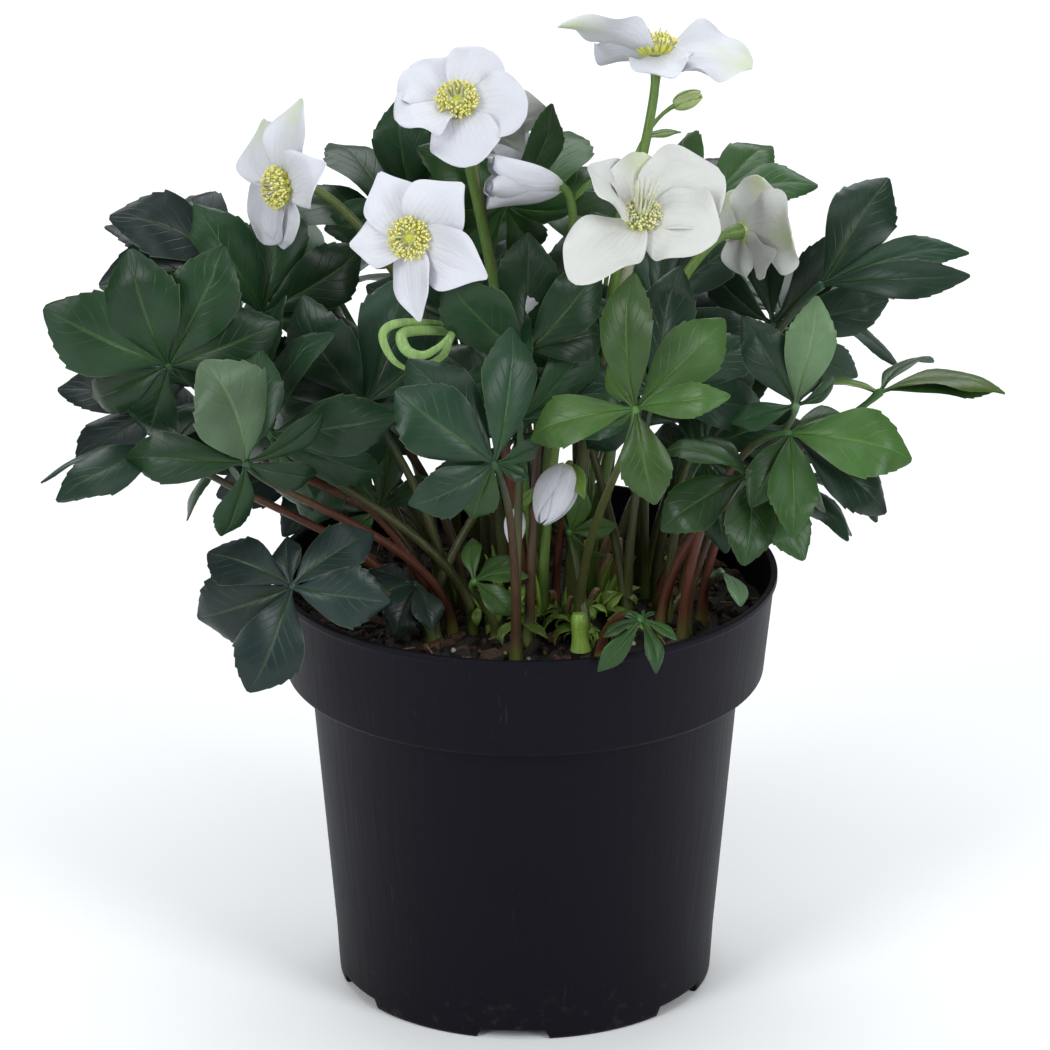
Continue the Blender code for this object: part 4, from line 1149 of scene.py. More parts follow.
# ---- Leaves ----------------------------------------------------------------------------------
def fan_rule(leaf: Leaf, number: int, k: int) -> tuple[float, float, float]:
    """What the rule gives the leaflet at one place of a leaf's fan.

    Args:
        leaf: The leaf.
        number: The leaf's number.
        k: Place in the fan, 0 for the middle leaflet.

    Returns:
        Degrees from the middle, degrees that it rises at its root, and length.
    """
    turn, stretch, bend = np.random.default_rng([SEED, number, k + 8]).uniform(-1, 1, 3)
    return (FAN_STEP * leaf.spread * k + JITTER_TURN * turn,
            BLADE_RISE + BLADE_STAGGER * (-1) ** k + JITTER_BEND * bend,
            leaf.length * SIDE_SHORTENING[abs(k)] * (1 + JITTER_LENGTH * stretch))


@dataclass
class GrownLeaf:
    """A leaf as its solid grew: its stalk's curve, its axes, and the leaflets that found room."""

    leaf: Leaf
    number: int
    corners: Array = field(default_factory=lambda: np.zeros((4, 3)))
    hub: Array = field(default_factory=lambda: np.zeros(3))
    axes: tuple[Array, Array, Array] = ()
    leaflets: list[tuple[Array, float, float, float]] = field(default_factory=list)

    def find(self) -> "GrownLeaf":
        """Finds the stalk and the leaflets of the rule that agree with the solid's corners."""
        solid = corners_of(self.leaf.name)
        foot = foot_of(solid, LEAF_FOOT_LEVEL)
        best = math.inf
        face = direction(self.leaf.face, self.leaf.face_rise)
        axes = blade_axes(direction(self.leaf.heading, self.leaf.pitch), face)
        for turn, out, up in HUB_NUDGES:
            hub = place(self.leaf.azimuth + turn, self.leaf.reach + out, self.leaf.height + up)
            arrival = leaf_arrival(axes[0], axes[2])
            for ease in SWING_SCALES:
                corners = stalk_corners(foot, hub, arrival, LEAF_SWING * ease)
                miss = ring_miss(solid, bezier(corners, LEAF_STALK_STEPS), LEAF_STALK_RADII)
                if miss < best:
                    best, self.hub, self.corners, self.axes = miss, hub, corners, axes
        for k in sorted(range(-LEAFLET_SIDE_COUNT, LEAFLET_SIDE_COUNT + 1), key=abs):
            if k not in self.leaf.lost:
                self.find_leaflet(k, solid)
        return self

    def find_leaflet(self, k: int, solid: Array) -> None:
        """Adds the leaflet at place `k` of the fan, where one of the rule's tips is a corner.

        Args:
            k: Place in the fan, 0 for the middle leaflet.
            solid: Corners of the leaf's solid.
        """
        ahead, _, face = self.axes
        angle, rise, length = fan_rule(self.leaf, self.number, k)
        ways = np.array([(angle + turned, rise + bent, BLADE_DROOP - 0.5 * bent, length * scale)
                         for scale in LENGTH_SCALES for bent in BEND_SHIFTS for turned in TURN_SHIFTS])
        out = np.array([turn_about(ahead, face, degrees) for degrees in ways[:, 0]])
        tips, _ = arc(self.hub + out * BLADE_START, out, np.broadcast_to(face, out.shape), ways[:, 3],
                      ways[:, 1], ways[:, 2], np.ones((len(ways), 1)))
        miss = np.linalg.norm(tips - solid[None], axis=-1).min(axis=1)
        best = int(miss.argmin())
        if miss[best] < MATCH:
            self.leaflets.append((out[best], *ways[best, 1:]))


def back_leaves() -> list[Leaf]:
    """Leaves behind, in tiers that spread evenly from one side to the other."""
    leaves = []
    for tier, count, first, last, reach, height, pitch, length in BACK_TIERS:
        for i in range(count):
            azimuth = first + (last - first) * i / (count - 1)
            leaves.append(Leaf(f"{tier}_{i + 1}", azimuth, reach, height, azimuth, pitch, azimuth,
                               BACK_FACE_RISE, length, BACK_LOST, BACK_SPREAD,
                               BACK_TONES[(len(leaves) * 3) % 4], Tone.OLIVE))
    return leaves


INNER_FIRST = 100             # number of the first leaf that only the scene has
INNER_FEET = (0.040, 0.007)   # least reach of its foot from the rootstock's middle, and the step


def inner_leaves() -> list[GrownLeaf]:
    """Small leaves that fill the crown inside, each on a stalk from the compost like the rest."""
    grown = []
    for number, leaf in enumerate(INNER_LEAVES):
        hub = place(leaf.azimuth, leaf.reach, leaf.height)
        face = direction(leaf.face, leaf.face_rise)
        axes = blade_axes(direction(leaf.heading, leaf.pitch), face)
        off = hub[:2] - np.array(STOCK_CENTRE)
        reach = INNER_FEET[0] + INNER_FEET[1] * (number % 4)
        foot = np.array((*(np.array(STOCK_CENTRE) + unit(off) * reach), LEAF_FOOT_LEVEL))
        corners = stalk_corners(foot, hub, leaf_arrival(axes[0], axes[2]), LEAF_SWING)
        made = GrownLeaf(leaf, INNER_FIRST + number, corners, hub, axes)
        for k in range(-LEAFLET_SIDE_COUNT, LEAFLET_SIDE_COUNT + 1):
            angle, rise, length = fan_rule(leaf, made.number, k)
            if k not in leaf.lost:
                made.leaflets.append((turn_about(axes[0], axes[2], angle), rise, BLADE_DROOP, length))
        grown.append(made)
    return grown


@dataclass
class Foliage:
    """The compound leaves: leaflets in sprays round their hubs, and the stalks under them."""

    leaflet: BladePlan = LEAFLET
    stalk_sides: int = 12
    stalk_rows: int = 30
    stalk_slimness: float = 0.80
    foot_flare: float = 0.28
    hub_swell: float = 0.0007     # how much a stalk widens at its hub
    hub_knob: tuple[float, float] = (0.0016, 0.0011)   # length and radius of its rounded end
    sunk: float = 0.004           # how far a stalk goes on under the compost's level
    tint_spread: float = 0.34     # how far a leaflet's colour strays from its leaf's
    roll: float = 28.0            # degrees that a leaflet may turn about its own length
    bend: float = 13.0            # degrees that its root and tip may bend off the rule's arc
    sag: float = 8.0              # degrees more that every tip droops

    def grow(self) -> list[GrownLeaf]:
        """Every leaf as its solid grew."""
        leaves = list(LEAVES) + back_leaves()
        return [GrownLeaf(leaf, number).find() for number, leaf in enumerate(leaves)] + inner_leaves()

    def blades(self, group: list[GrownLeaf]) -> Blades:
        """The leaflets of some leaves, each leaflet's colour a little off its leaf's."""
        blades = Blades()
        for grown in group:
            dice = np.random.default_rng([SEED, grown.number, 77])
            _, _, face = grown.axes
            for k, (out, rise, droop, length) in enumerate(grown.leaflets):
                cut = grown.leaf.cuts.get(k, Cut())
                out = turn_about(out, face, cut.turn)
                tone = cut.tone or grown.leaf.tone
                tint = tone.colour * (1 + self.tint_spread * dice.uniform(-1, 1))
                tint = tint * (1 + 0.06 * dice.uniform(-1, 1, 3))
                side = turn_about(np.cross(face, out), out, self.roll * dice.uniform(-1, 1))
                bent = self.bend * dice.uniform(-1, 1) + cut.rise
                blades.add(grown.hub + out * BLADE_START, out, side, np.cross(out, side), length * cut.size,
                           rise + bent, droop + self.sag - bent, tint, grown.leaf.broad * cut.broad)
        return blades

    def stalks(self, leaves: list[GrownLeaf], skin: Skin) -> None:
        """Adds the leaf stalks to a skin.

        The radius falls evenly from foot to hub, times slimness + flare e^(-t/0.06), and
        swells to the hub over the last of the way.
        """
        t = np.linspace(0.0, 1.0, self.stalk_rows + 1)
        paths = np.array([bezier(grown.corners, self.stalk_rows) for grown in leaves])
        ends = np.array([leaf_arrival(grown.axes[0], grown.axes[2]) for grown in leaves])
        foot = paths[:, :1] - UP * self.sunk
        knob = paths[:, -1:] + ends[:, None] * self.hub_knob[0]
        paths = np.concatenate((foot, paths, knob), axis=1)
        radii = LEAF_STALK_RADII[0] + (LEAF_STALK_RADII[1] - LEAF_STALK_RADII[0]) * t
        radii = radii * (self.stalk_slimness + self.foot_flare * np.exp(-t / 0.06))
        radii = radii + self.hub_swell * smoothstep(t, 0.93, 1.0)
        radii = np.concatenate((radii[:1], radii, self.hub_knob[1:]))
        share = np.concatenate(((0.0,), t, (1.0,)))[:, None, None]
        stems = np.array([grown.leaf.stalk.value for grown in leaves])[:, None, None]
        heads = np.array([grown.leaf.tone.value for grown in leaves])[:, None, None] * 1.7
        foot_tint = Tone.SHOOT_GREEN.colour * 0.45
        tint = stems + (heads - stems) * smoothstep(share, 0.55, 1.0)
        tint = tint + (foot_tint - tint) * (1 - smoothstep(share, 0.0, 0.10)) * 0.6
        lay = np.concatenate((share, share, share), axis=-1)
        skin.stack(tube(paths, ends, radii, self.stalk_sides, 0.16), tint, lay)

    def build(self) -> list[bpy.types.Object]:
        """Builds the leaflets in three pieces, and the leaf stalks in one."""
        leaves = self.grow()
        for grown in leaves:
            LOG.info("%s: %d leaflets", grown.leaf.name, len(grown.leaflets))
        groups = {"leaflets_left": [], "leaflets_right": [], "leaflets_back": []}
        for grown in leaves:
            side = "left" if grown.hub[0] < -0.02 else "right"
            behind = "back" in grown.leaf.name or grown.number >= INNER_FIRST
            groups["leaflets_back" if behind else f"leaflets_{side}"].append(grown)
        pieces = []
        for number, (name, group) in enumerate(groups.items()):
            skin = Skin(name)
            skin.stack(*blade_rings(self.blades(group), self.leaflet, SEED + number))
            nodes = [grown.leaf.name for grown in group if grown.number < INNER_FIRST]
            pieces.append(skin.build(LEAF_SKIN, "leaf", nodes))
        skin = Skin("leaf_stalks")
        self.stalks(leaves, skin)
        pieces.append(skin.build(STALK_SKIN, "leaf", [leaves[0].leaf.name]))
        return pieces


# ---- Blooms, buds and their stalks -----------------------------------------------------------
def stock_stalk(node: str, tip: Array, arrival: Array, swing: float) -> Array:
    """Corners of a flower stalk's curve, by the rule's choice that agrees with its solid.

    Args:
        node: Name of the solid that holds the stalk.
        tip: Its upper end.
        arrival: Direction in which it comes into that end.
        swing: Share of its length that it swings before the end.

    Returns:
        The curve's four corners.
    """
    solid = corners_of(node)
    foot = foot_of(solid, STOCK_LEVEL)
    tries = [stalk_corners(foot, tip, arrival, swing * ease) for ease in SWING_SCALES]
    misses = [ring_miss(solid, bezier(corners, STALK_STEPS), BLOOM_STALK_RADII) for corners in tries]
    return tries[int(np.argmin(misses))]


@dataclass
class Flowers:
    """The open blooms: petals, stamens, honey cups and pistils."""

    stamens: int = 150
    nectaries: int = 13
    boss_radius: float = 0.0098
    boss_height: float = 0.0090
    anther: tuple[float, float] = (0.0010, 0.00056)   # half length and radius

    def axes(self, bloom: Bloom) -> tuple[Array, Array, Array, Array]:
        """Centre, direction of the first petal before its spin, side and face of a bloom."""
        face = direction(bloom.face, bloom.face_rise)
        upward = np.array((0.0, 0.0, 1.0) if abs(face[2]) < 0.95 else (0.0, 1.0, 0.0))
        top, side, _ = blade_axes(upward - face * (upward @ face), face)
        return place(bloom.azimuth, bloom.reach, bloom.height), top, side, face

    def petals(self) -> Skin:
        """Five petals to a bloom, each turned a little about its middle so that they lap."""
        skin = Skin("petals")
        for number, bloom in enumerate(BLOOMS):
            blades, marks = Blades(), []
            centre, top, _, face = self.axes(bloom)
            dice = np.random.default_rng([SEED, number, 31])
            for k in range(PETALS):
                ahead = turn_about(top, face, bloom.spin + 360.0 * k / PETALS + bloom.turns[k])
                roll = PETAL_TWIST + bloom.rolls[k] + 5 * dice.uniform(-1, 1)
                side = turn_about(np.cross(face, ahead), ahead, roll)
                length = bloom.petal * bloom.lengths[k]
                bent = bloom.bends[k] + 4 * dice.uniform(-1, 1)
                blades.add(centre, ahead, side, np.cross(ahead, side), length, bloom.cup + bent,
                           PETAL_CURL - bloom.cup - bent, bloom.tone.colour * dice.uniform(0.96, 1.0),
                           bloom.broads[k])
                marks.append(float(k in bloom.green))
            skin.stack(*blade_rings(blades, PETAL_PLANS[bloom.cut], SEED + 5 + number, np.array(marks)))
        return skin

    def boss(self) -> Skin:
        """Stamens, honey cups and pistils.

        A stamen rises from the disc's radius a to radius b outside it and height h, along a curve
        that first goes out and then up; its anther is an egg at the tip. Radii and turns follow
        the golden angle, so that the cushion is even.
        """
        skin = Skin("stamens")
        golden = math.pi * (3 - math.sqrt(5))
        for number, bloom in enumerate(BLOOMS):
            centre, top, side, face = self.axes(bloom)
            dice = np.random.default_rng([SEED, number, 53])
            index = np.arange(self.stamens)
            share = np.sqrt((index + 0.5) / self.stamens)
            turn = index * golden + dice.uniform(-0.15, 0.15, self.stamens)
            way = spokes(turn, top, side)
            reach = self.boss_radius * (0.30 + 0.70 * share) * bloom.boss
            high = self.boss_height * (1.0 - 0.42 * share**2) * bloom.boss
            high = high * dice.uniform(0.86, 1.1, self.stamens)
            foot = centre + way * 0.0028 - face * 0.0005
            tip = centre + way * reach[:, None] + face * high[:, None]
            knee = centre + way * (reach * 0.80)[:, None] + face * (high * 0.45)[:, None]
            t = np.linspace(0.0, 1.0, 4)[None, :, None]
            paths = foot[:, None] * (1 - t) ** 2 + 2 * knee[:, None] * t * (1 - t) + tip[:, None] * t**2
            ends = unit(tip - knee)
            pale = Tone.PALE_YELLOW.colour
            skin.stack(tube(paths, ends, np.array((0.00026, 0.00022, 0.00018, 0.00018)), 4), pale, pale)
            lean = unit(ends + dice.normal(0, 0.35, ends.shape))
            spots = np.array((-0.9, -0.3, 0.35, 0.9)) * self.anther[0]
            eggs = tip[:, None] + lean[:, None] * spots[None, :, None]
            yellow = bloom.pollen.colour * dice.uniform(0.8, 1.1, (self.stamens, 1, 1, 1))
            skin.stack(tube(eggs, lean, np.array((0.35, 0.95, 1.0, 0.4)) * self.anther[1], 6), yellow, pale)
            t = np.array((0.0006, 0.0012, 0.0024, 0.0036, 0.0044))
            dome = (centre + face * t[:, None])[None]
            skin.stack(tube(dome, face[None], np.array((0.0030, 0.0050, 0.0052, 0.0040, 0.0018)), 12),
                       Tone.NECTAR.colour, pale)
            self.cups(skin, bloom, centre, top, side, face)
            self.pistils(skin, bloom, centre, top, side, face)
        return skin

    def cups(self, skin: Skin, bloom: Bloom, centre: Array, top: Array, side: Array, face: Array) -> None:
        """Adds the ring of small tubular honey cups between petals and stamens."""
        turn = np.arange(self.nectaries) * (2 * math.pi / self.nectaries)
        way = spokes(turn, top, side)
        t = np.linspace(0.0, 1.0, 5)[None, :, None]
        run = way[:, None] * (0.0032 + 0.0052 * t) + face * (0.0004 + 0.0030 * t**1.6)
        ends = unit(way * 0.5 + face)
        radii = np.array((0.0005, 0.0008, 0.00105, 0.0012, 0.0009)) * bloom.boss
        skin.stack(tube(centre + run * bloom.boss, ends, radii, 8), Tone.NECTAR.colour, way[:1, None, None])

    def pistils(self, skin: Skin, bloom: Bloom, centre: Array, top: Array, side: Array, face: Array) -> None:
        """Adds the pointed pistils, which stand over the stamens and part at their tips."""
        count, tall = bloom.pistils
        turn = np.arange(count) * (2 * math.pi / count) + 0.4
        way = spokes(turn, top, side)
        t = np.linspace(0.0, 1.0, 9)[None, :, None]
        run = way[:, None] * (0.0012 + 0.0020 * np.sin(math.pi * t * 0.8) + 0.0030 * t**4) + face * (tall * t)
        ends = unit(way * 0.8 + face)
        radii = 0.0013 * np.array((1.0, 1.05, 0.95, 0.75, 0.5, 0.36, 0.30, 0.28, 0.20))
        green, cream = Tone.NECTAR.colour * (0.7, 1.0, 1.0), Tone.CREAM.colour
        tint = green + (cream - green) * smoothstep(t[..., None], 0.15, 0.5)
        skin.stack(tube(centre + run, ends, radii, 8), tint, tint)

    def build(self) -> list[bpy.types.Object]:
        """Builds the petals and what stands inside them."""
        heads = [bloom.name for bloom in BLOOMS]
        return [self.petals().build(PETAL_SKIN, "petal", heads),
                self.boss().build(POWDERED, "petal", heads)]


@dataclass
class Buds:
    """The buds: five lapped petals wrapped round an egg."""

    petals: int = 5
    rows: int = 14
    outer: int = 11
    inner: int = 5
    thick: float = 0.0007

    def wrap(self, skin: Skin, bud: Bud, number: int) -> None:
        """Adds one bud.

        At share t of the length each petal spans the angles theta_j + w(t) u on the radius
        width sin(pi t^p)^0.75 / 2, a little more for each petal, and opens by `open_share` t^3.
        """
        ahead, side, face = blade_axes(direction(bud.heading, bud.pitch), UP)
        base = place(bud.azimuth, bud.reach, bud.height) - ahead * 0.002
        t = np.append(np.linspace(0.02, 1.0, self.rows)[:-1], 0.985)
        power = math.log(0.5) / math.log(0.45)
        swell = 0.5 * bud.width * bud.slim * np.sin(math.pi * t**power) ** 0.75
        u = np.concatenate((np.linspace(1, -1, self.outer), np.linspace(-0.75, 0.75, self.inner)))
        outside = np.concatenate((np.ones(self.outer), -np.ones(self.inner)))
        edge = np.abs(u) >= 1.0
        order = np.arange(self.petals)
        turn = order * 2.4 * math.pi / 3 + number
        span = math.radians(74) * np.sin(math.pi * np.clip(t, 0.02, 0.98) ** 0.75) ** 0.45
        angle = turn[:, None, None] + span[None, :, None] * u
        layer = 0.00035 * order[:, None, None] + np.where(edge, 0.0, 0.5 * self.thick) * outside
        opened = bud.open_share * bud.length * t[:, None] ** 3 * (1 - 0.4 * u**2)
        radius = np.maximum(swell[None, :, None] + layer + opened[None], 0.0002)
        middle = base + ahead * (bud.length * t)[:, None]
        ring = side * np.cos(angle)[..., None] + face * np.sin(angle)[..., None]
        points = middle[None, :, None] + ring * radius[..., None]
        lay = np.stack(np.broadcast_arrays(u[None, None], t[None, :, None],
                                           np.where(edge, 0.0, outside) * (1.0 + bud.green)), -1)
        lay = np.broadcast_to(lay, points.shape)
        skin.stack(points, bud.tone.colour, lay)

    def build(self) -> list[bpy.types.Object]:
        """Builds all the buds in one piece."""
        skin = Skin("buds")
        for number, bud in enumerate(BUDS):
            self.wrap(skin, bud, number)
        return [skin.build(PETAL_SKIN, "bud", [bud.name for bud in BUDS])]


CURL_HEIGHT = 0.320           # height of the joint on the stalk
CURL_WIDTHS = (1.0, 1.25, 0.9)
CURL_LINES = (                # ways of the curled bracts from their joint, in millimetres
    ((0, 0, 0), (-12, -21, 13), (-31, -37, 20), (-39, -41, 17), (-37, -42, 8), (-31, -41, 1),
     (-19, -36, -5)),
    ((0, 0, 0), (-14, -25, 12), (-30, -39, 16), (-29, -44, 10), (-22, -46, 8), (-15, -47, 12),
     (-10, -45, 17)),
    ((0, 0, 0), (-7, -25, 13), (-10, -39, 13), (-13, -41, 6), (-22, -42, 2), (-28, -41, 5)),
)


@dataclass
class FlowerStalks:
    """The stalks of blooms and buds, with the pale bracts on them."""

    rows: int = 30
    sides: int = 14
    neck: float = 0.0012          # how much a stalk swells under its bloom
    inside: float = 0.0050        # how far it runs on into the bloom
    sunk: float = 0.004           # how far it goes on down into the rootstock
    flare: float = 0.35           # how much wider its foot is
    bract: BladePlan = BRACT
    ribbon: float = 0.0021        # half width of a curled bract
    flatness: float = 0.62        # how far a curled bract is pressed flat

    def curves(self) -> tuple[Array, ...]:
        """Curves' corners, end directions, thinness, and tones low and high, of all the stalks."""
        rows = []
        for bloom in BLOOMS:
            face = direction(bloom.face, bloom.face_rise)
            tip = place(bloom.azimuth, bloom.reach, bloom.height) - face * NECK
            corners = stock_stalk(bloom.name.replace("bloom", "stalk"), tip, face, BLOOM_SWING)
            rows.append((corners, face, 1.0, bloom.stalk.value, bloom.neck.value))
        for bud in BUDS:
            ahead = direction(bud.heading, bud.pitch)
            tip = place(bud.azimuth, bud.reach, bud.height)
            corners = stock_stalk(bud.name, tip, ahead, BUD_SWING)
            rows.append((corners, ahead, bud.thin, bud.stalk.value, Tone.STALK_GREEN.value))
        return tuple(np.array(column) for column in zip(*rows))

    def build(self) -> list[bpy.types.Object]:
        """Builds the stalks in one piece and their bracts in another."""
        corners, ends, thins, stems, upper = self.curves()
        span = BLOOM_STALK_RADII
        t = np.linspace(0.0, 1.0, self.rows + 1)
        paths = np.array([bezier(curve, self.rows) for curve in corners])
        paths = np.concatenate((paths[:, :1] - UP * self.sunk, paths,
                                paths[:, -1:] + ends[:, None] * self.inside), axis=1)
        radii = (span[0] + (span[1] - span[0]) * t) * (1 + self.flare * np.exp(-t / 0.05))
        radii = radii + self.neck * smoothstep(t, 0.95, 1.0)
        radii = np.concatenate((radii[:1], radii, (span[1] + self.neck * 1.4,))) * thins[:, None]
        share = np.concatenate(((0.0,), t, (1.0,)))[:, None, None]
        stems, upper = stems[:, None, None], upper[:, None, None]
        tint = stems + (upper - stems) * smoothstep(share, 0.66, 0.96) * 0.85
        lay = np.concatenate((share, share, share), axis=-1)
        skin = Skin("flower_stalks")
        skin.stack(tube(paths, ends, radii, self.sides, 0.10), tint, lay)
        ribbons, run = self.curls(corners[0])
        skin.stack(ribbons, Tone.CURL_GREEN.colour, np.concatenate((run, run, run), axis=-1))
        names = [bloom.name.replace("bloom", "stalk") for bloom in BLOOMS]
        pieces = [skin.build(STALK_SKIN, "flower_stalk", names)]
        bracts = Skin("bracts")
        bracts.stack(*blade_rings(self.bracts(corners), self.bract, SEED + 9))
        pieces.append(bracts.build(LEAF_SKIN, "flower_stalk", names[:1]))
        return pieces

    def bracts(self, corners: Array) -> Blades:
        """Pale bracts that curl away from a stalk near its top: its bloom's number, one for a bud."""
        blades = Blades()
        for number, curve in enumerate(corners):
            dice = np.random.default_rng([SEED, number, 91])
            path = bezier(curve, 60)
            along = unit(np.gradient(path, axis=0))
            for k in range(BLOOMS[number].bracts if number < len(BLOOMS) else 1):
                at = int(60 * (0.86 - 0.10 * k - 0.03 * dice.uniform()))
                way = along[at]
                out = unit(np.cross(way, (0.3, 1.0, 0.2)))
                out = turn_about(out, way, 137 * k + 360 * dice.uniform())
                ahead = unit(way * 0.75 + out * 0.65)
                ahead, side, face = blade_axes(ahead, way * 0.65 - out * 0.75)
                tint = Tone.STALK_GREEN.colour * dice.uniform(0.8, 1.3)
                blades.add(path[at] + out * 0.0012, ahead, side, face, 0.014 + 0.007 * dice.uniform(), -5,
                           20 + 50 * dice.uniform(), tint)
        return blades

    def curls(self, curve: Array) -> tuple[Array, Array]:
        """Flat pale bracts that reach forward from a stalk and curl up under its bloom.

        Args:
            curve: Corners of the stalk's curve.

        Returns:
            Rings of the ribbons and the share along them.
        """
        path = bezier(curve, 60)
        joint = path[np.argmin(np.abs(path[:, 2] - CURL_HEIGHT))]
        t = np.linspace(0.0, 1.0, 45)
        lines = np.array([through(MILLIMETRE * np.array(line), 44) for line in CURL_LINES]) + joint
        ends = unit(lines[:, -1] - lines[:, -2])
        radii = self.ribbon * (0.30 + 0.70 * np.sin(math.pi * t**0.75)) * np.array(CURL_WIDTHS)[:, None]
        rings = tube(lines, ends, radii, 12)
        return rings - (rings - lines[:, :, None]) * (NORTH * self.flatness), t[:, None, None]


@dataclass
class Crown:
    """The rootstock, with young shoots, sheaths and old stubs round its top."""

    radius: float = 0.030
    top_radius: float = 0.0245
    height: float = 0.009
    shoots: int = 34
    tufts: int = 20

    def stock(self) -> Skin:
        """Low lump: rings of radius r(z) with rolling relief, closed at both ends."""
        base = SOIL_HEIGHT - 0.002
        rise = np.array((0.0, 0.3, 0.55, 0.8, 0.95, 1.0, 1.0, 1.0, 1.0)) * (self.height + 0.0022)
        reach = np.array((self.radius, self.radius, self.radius - 0.001, self.radius - 0.003,
                          self.top_radius, self.top_radius - 0.004, 0.016, 0.010, 0.004))
        turn = np.linspace(0, 2 * math.pi, 73)[:-1]
        ring = spokes(turn)
        points = ring[None] * (reach[:, None] + 0.0013 * np.sin(5 * turn))[..., None]
        points = points + UP * (base + rise)[:, None, None]
        points = points + np.array((*STOCK_CENTRE, 0.0))
        relief = lumps(points, 0.004, 5)[..., None] * 0.0019
        points = points + relief * (ring[None] * 0.7 + UP * 0.5)
        skin = Skin("rootstock_crown")
        skin.stack(points[None], Tone.BARK_DARK.colour, points[None] * 0)
        return skin

    def sprouts(self) -> Blades:
        """Tufts of small curling leaves that sprout round the rootstock, most of them in front."""
        dice = np.random.default_rng(SEED + 13)
        blades = Blades()
        for _ in range(self.tufts):
            turn, reach = dice.uniform(-160, -5), self.radius * dice.uniform(0.70, 1.60)
            foot = np.array((*STOCK_CENTRE, SOIL_HEIGHT + 0.002)) + direction(turn, 0) * reach
            high = dice.uniform(0.0, 0.014)
            for _ in range(int(dice.integers(4, 8))):
                ahead, side, face = blade_axes(direction(dice.uniform(0, 360), dice.uniform(5, 60)),
                                               UP)
                tint = Tone.SHOOT_GREEN.colour * dice.uniform(0.35, 0.85)
                blades.add(foot + UP * high, ahead, side, face, dice.uniform(0.008, 0.020), 20,
                           dice.uniform(40, 150), tint)
        return blades

    def shoots_round(self, skin: Skin) -> None:
        """Adds shoots and sheaths: tapering tubes that lean outward, and blunt stubs."""
        dice = np.random.default_rng(SEED + 12)
        turn = dice.uniform(0, 2 * math.pi, self.shoots)
        reach = self.top_radius * np.sqrt(dice.uniform(0.2, 1.5, self.shoots))
        way = spokes(turn)
        foot = np.array((*STOCK_CENTRE, SOIL_HEIGHT + 0.003)) + way * reach[:, None]
        foot[0, :2] = (0.025, -0.066)
        tall = dice.uniform(0.010, 0.030, self.shoots)
        lean = dice.uniform(0.05, 0.45, self.shoots)
        t = np.linspace(0.0, 1.0, 9)
        paths = (foot[:, None] + UP * (tall[:, None] * t)[..., None]
                 + way[:, None] * (tall * lean)[:, None, None] * (t**1.5)[None, :, None])
        ends = unit(way * lean[:, None] + UP)
        profile = np.array((1.15, 1.1, 1.0, 0.95, 0.9, 0.8, 0.62, 0.38, 0.14))
        blunt = np.array((1.2, 1.1, 1.0, 0.95, 0.95, 0.95, 0.95, 0.92, 0.7))
        stub = dice.uniform(size=self.shoots) < 0.3
        stub[0], tall[0] = True, 0.024
        radii = np.where(stub[:, None], blunt, profile) * dice.uniform(0.0013, 0.0026, self.shoots)[:, None]
        green, pink = Tone.SHOOT_GREEN.colour, Tone.RED_BROWN.colour * 2.0
        tint = np.where(stub[:, None], Tone.STRAW.colour, green) * dice.uniform(0.6, 1.1, (self.shoots, 1))
        flushed = 0.35 * (1 - smoothstep(t, 0, 0.6))[:, None, None]
        tint = tint[:, None, None] + (pink - tint[:, None, None]) * flushed
        radii[0], tint[0] = blunt * 0.0040, green * 0.9
        skin.stack(tube(paths, ends, radii, 10, 0.2), tint, tint)

    def build(self) -> list[bpy.types.Object]:
        """Builds the rootstock, and the shoots and sprouting leaves on it."""
        shoots, tufts = Skin("young_shoots"), Skin("sprouting_leaves")
        self.shoots_round(shoots)
        tufts.stack(*blade_rings(self.sprouts(), SPROUT, SEED + 14))
        return [self.stock().build(EARTH, "rootstock", ["rootstock"]),
                shoots.build(STALK_SKIN, "rootstock", ["rootstock"]),
                tufts.build(LEAF_SKIN, "rootstock", ["rootstock"])]


# ---- Pot and compost -------------------------------------------------------------------------
def rounded(corners: list[tuple[float, float]], radius: float, steps: int = 4) -> Array:
    """Profile with its inner corners rounded: between points one radius (or 0.45 of an edge)
    before and after each corner runs the parabola whose control point is the corner.

    Args:
        corners: Radii and heights.
        radius: Size of the rounding.
        steps: Points on each rounding.

    Returns:
        Points shaped (points, 2).
    """
    p = np.array(corners)
    before, after = p[:-2] - p[1:-1], p[2:] - p[1:-1]
    size_before = np.linalg.norm(before, axis=1, keepdims=True)
    size_after = np.linalg.norm(after, axis=1, keepdims=True)
    cut = np.minimum(radius, 0.45 * np.minimum(size_before, size_after))
    start, end = p[1:-1] + before / size_before * cut, p[1:-1] + after / size_after * cut
    t = np.linspace(0, 1, steps)[None, :, None]
    bows = start[:, None] * (1 - t) ** 2 + 2 * p[1:-1, None] * t * (1 - t) + end[:, None] * t**2
    return np.concatenate((p[:1], bows.reshape(-1, 2), p[-1:]))


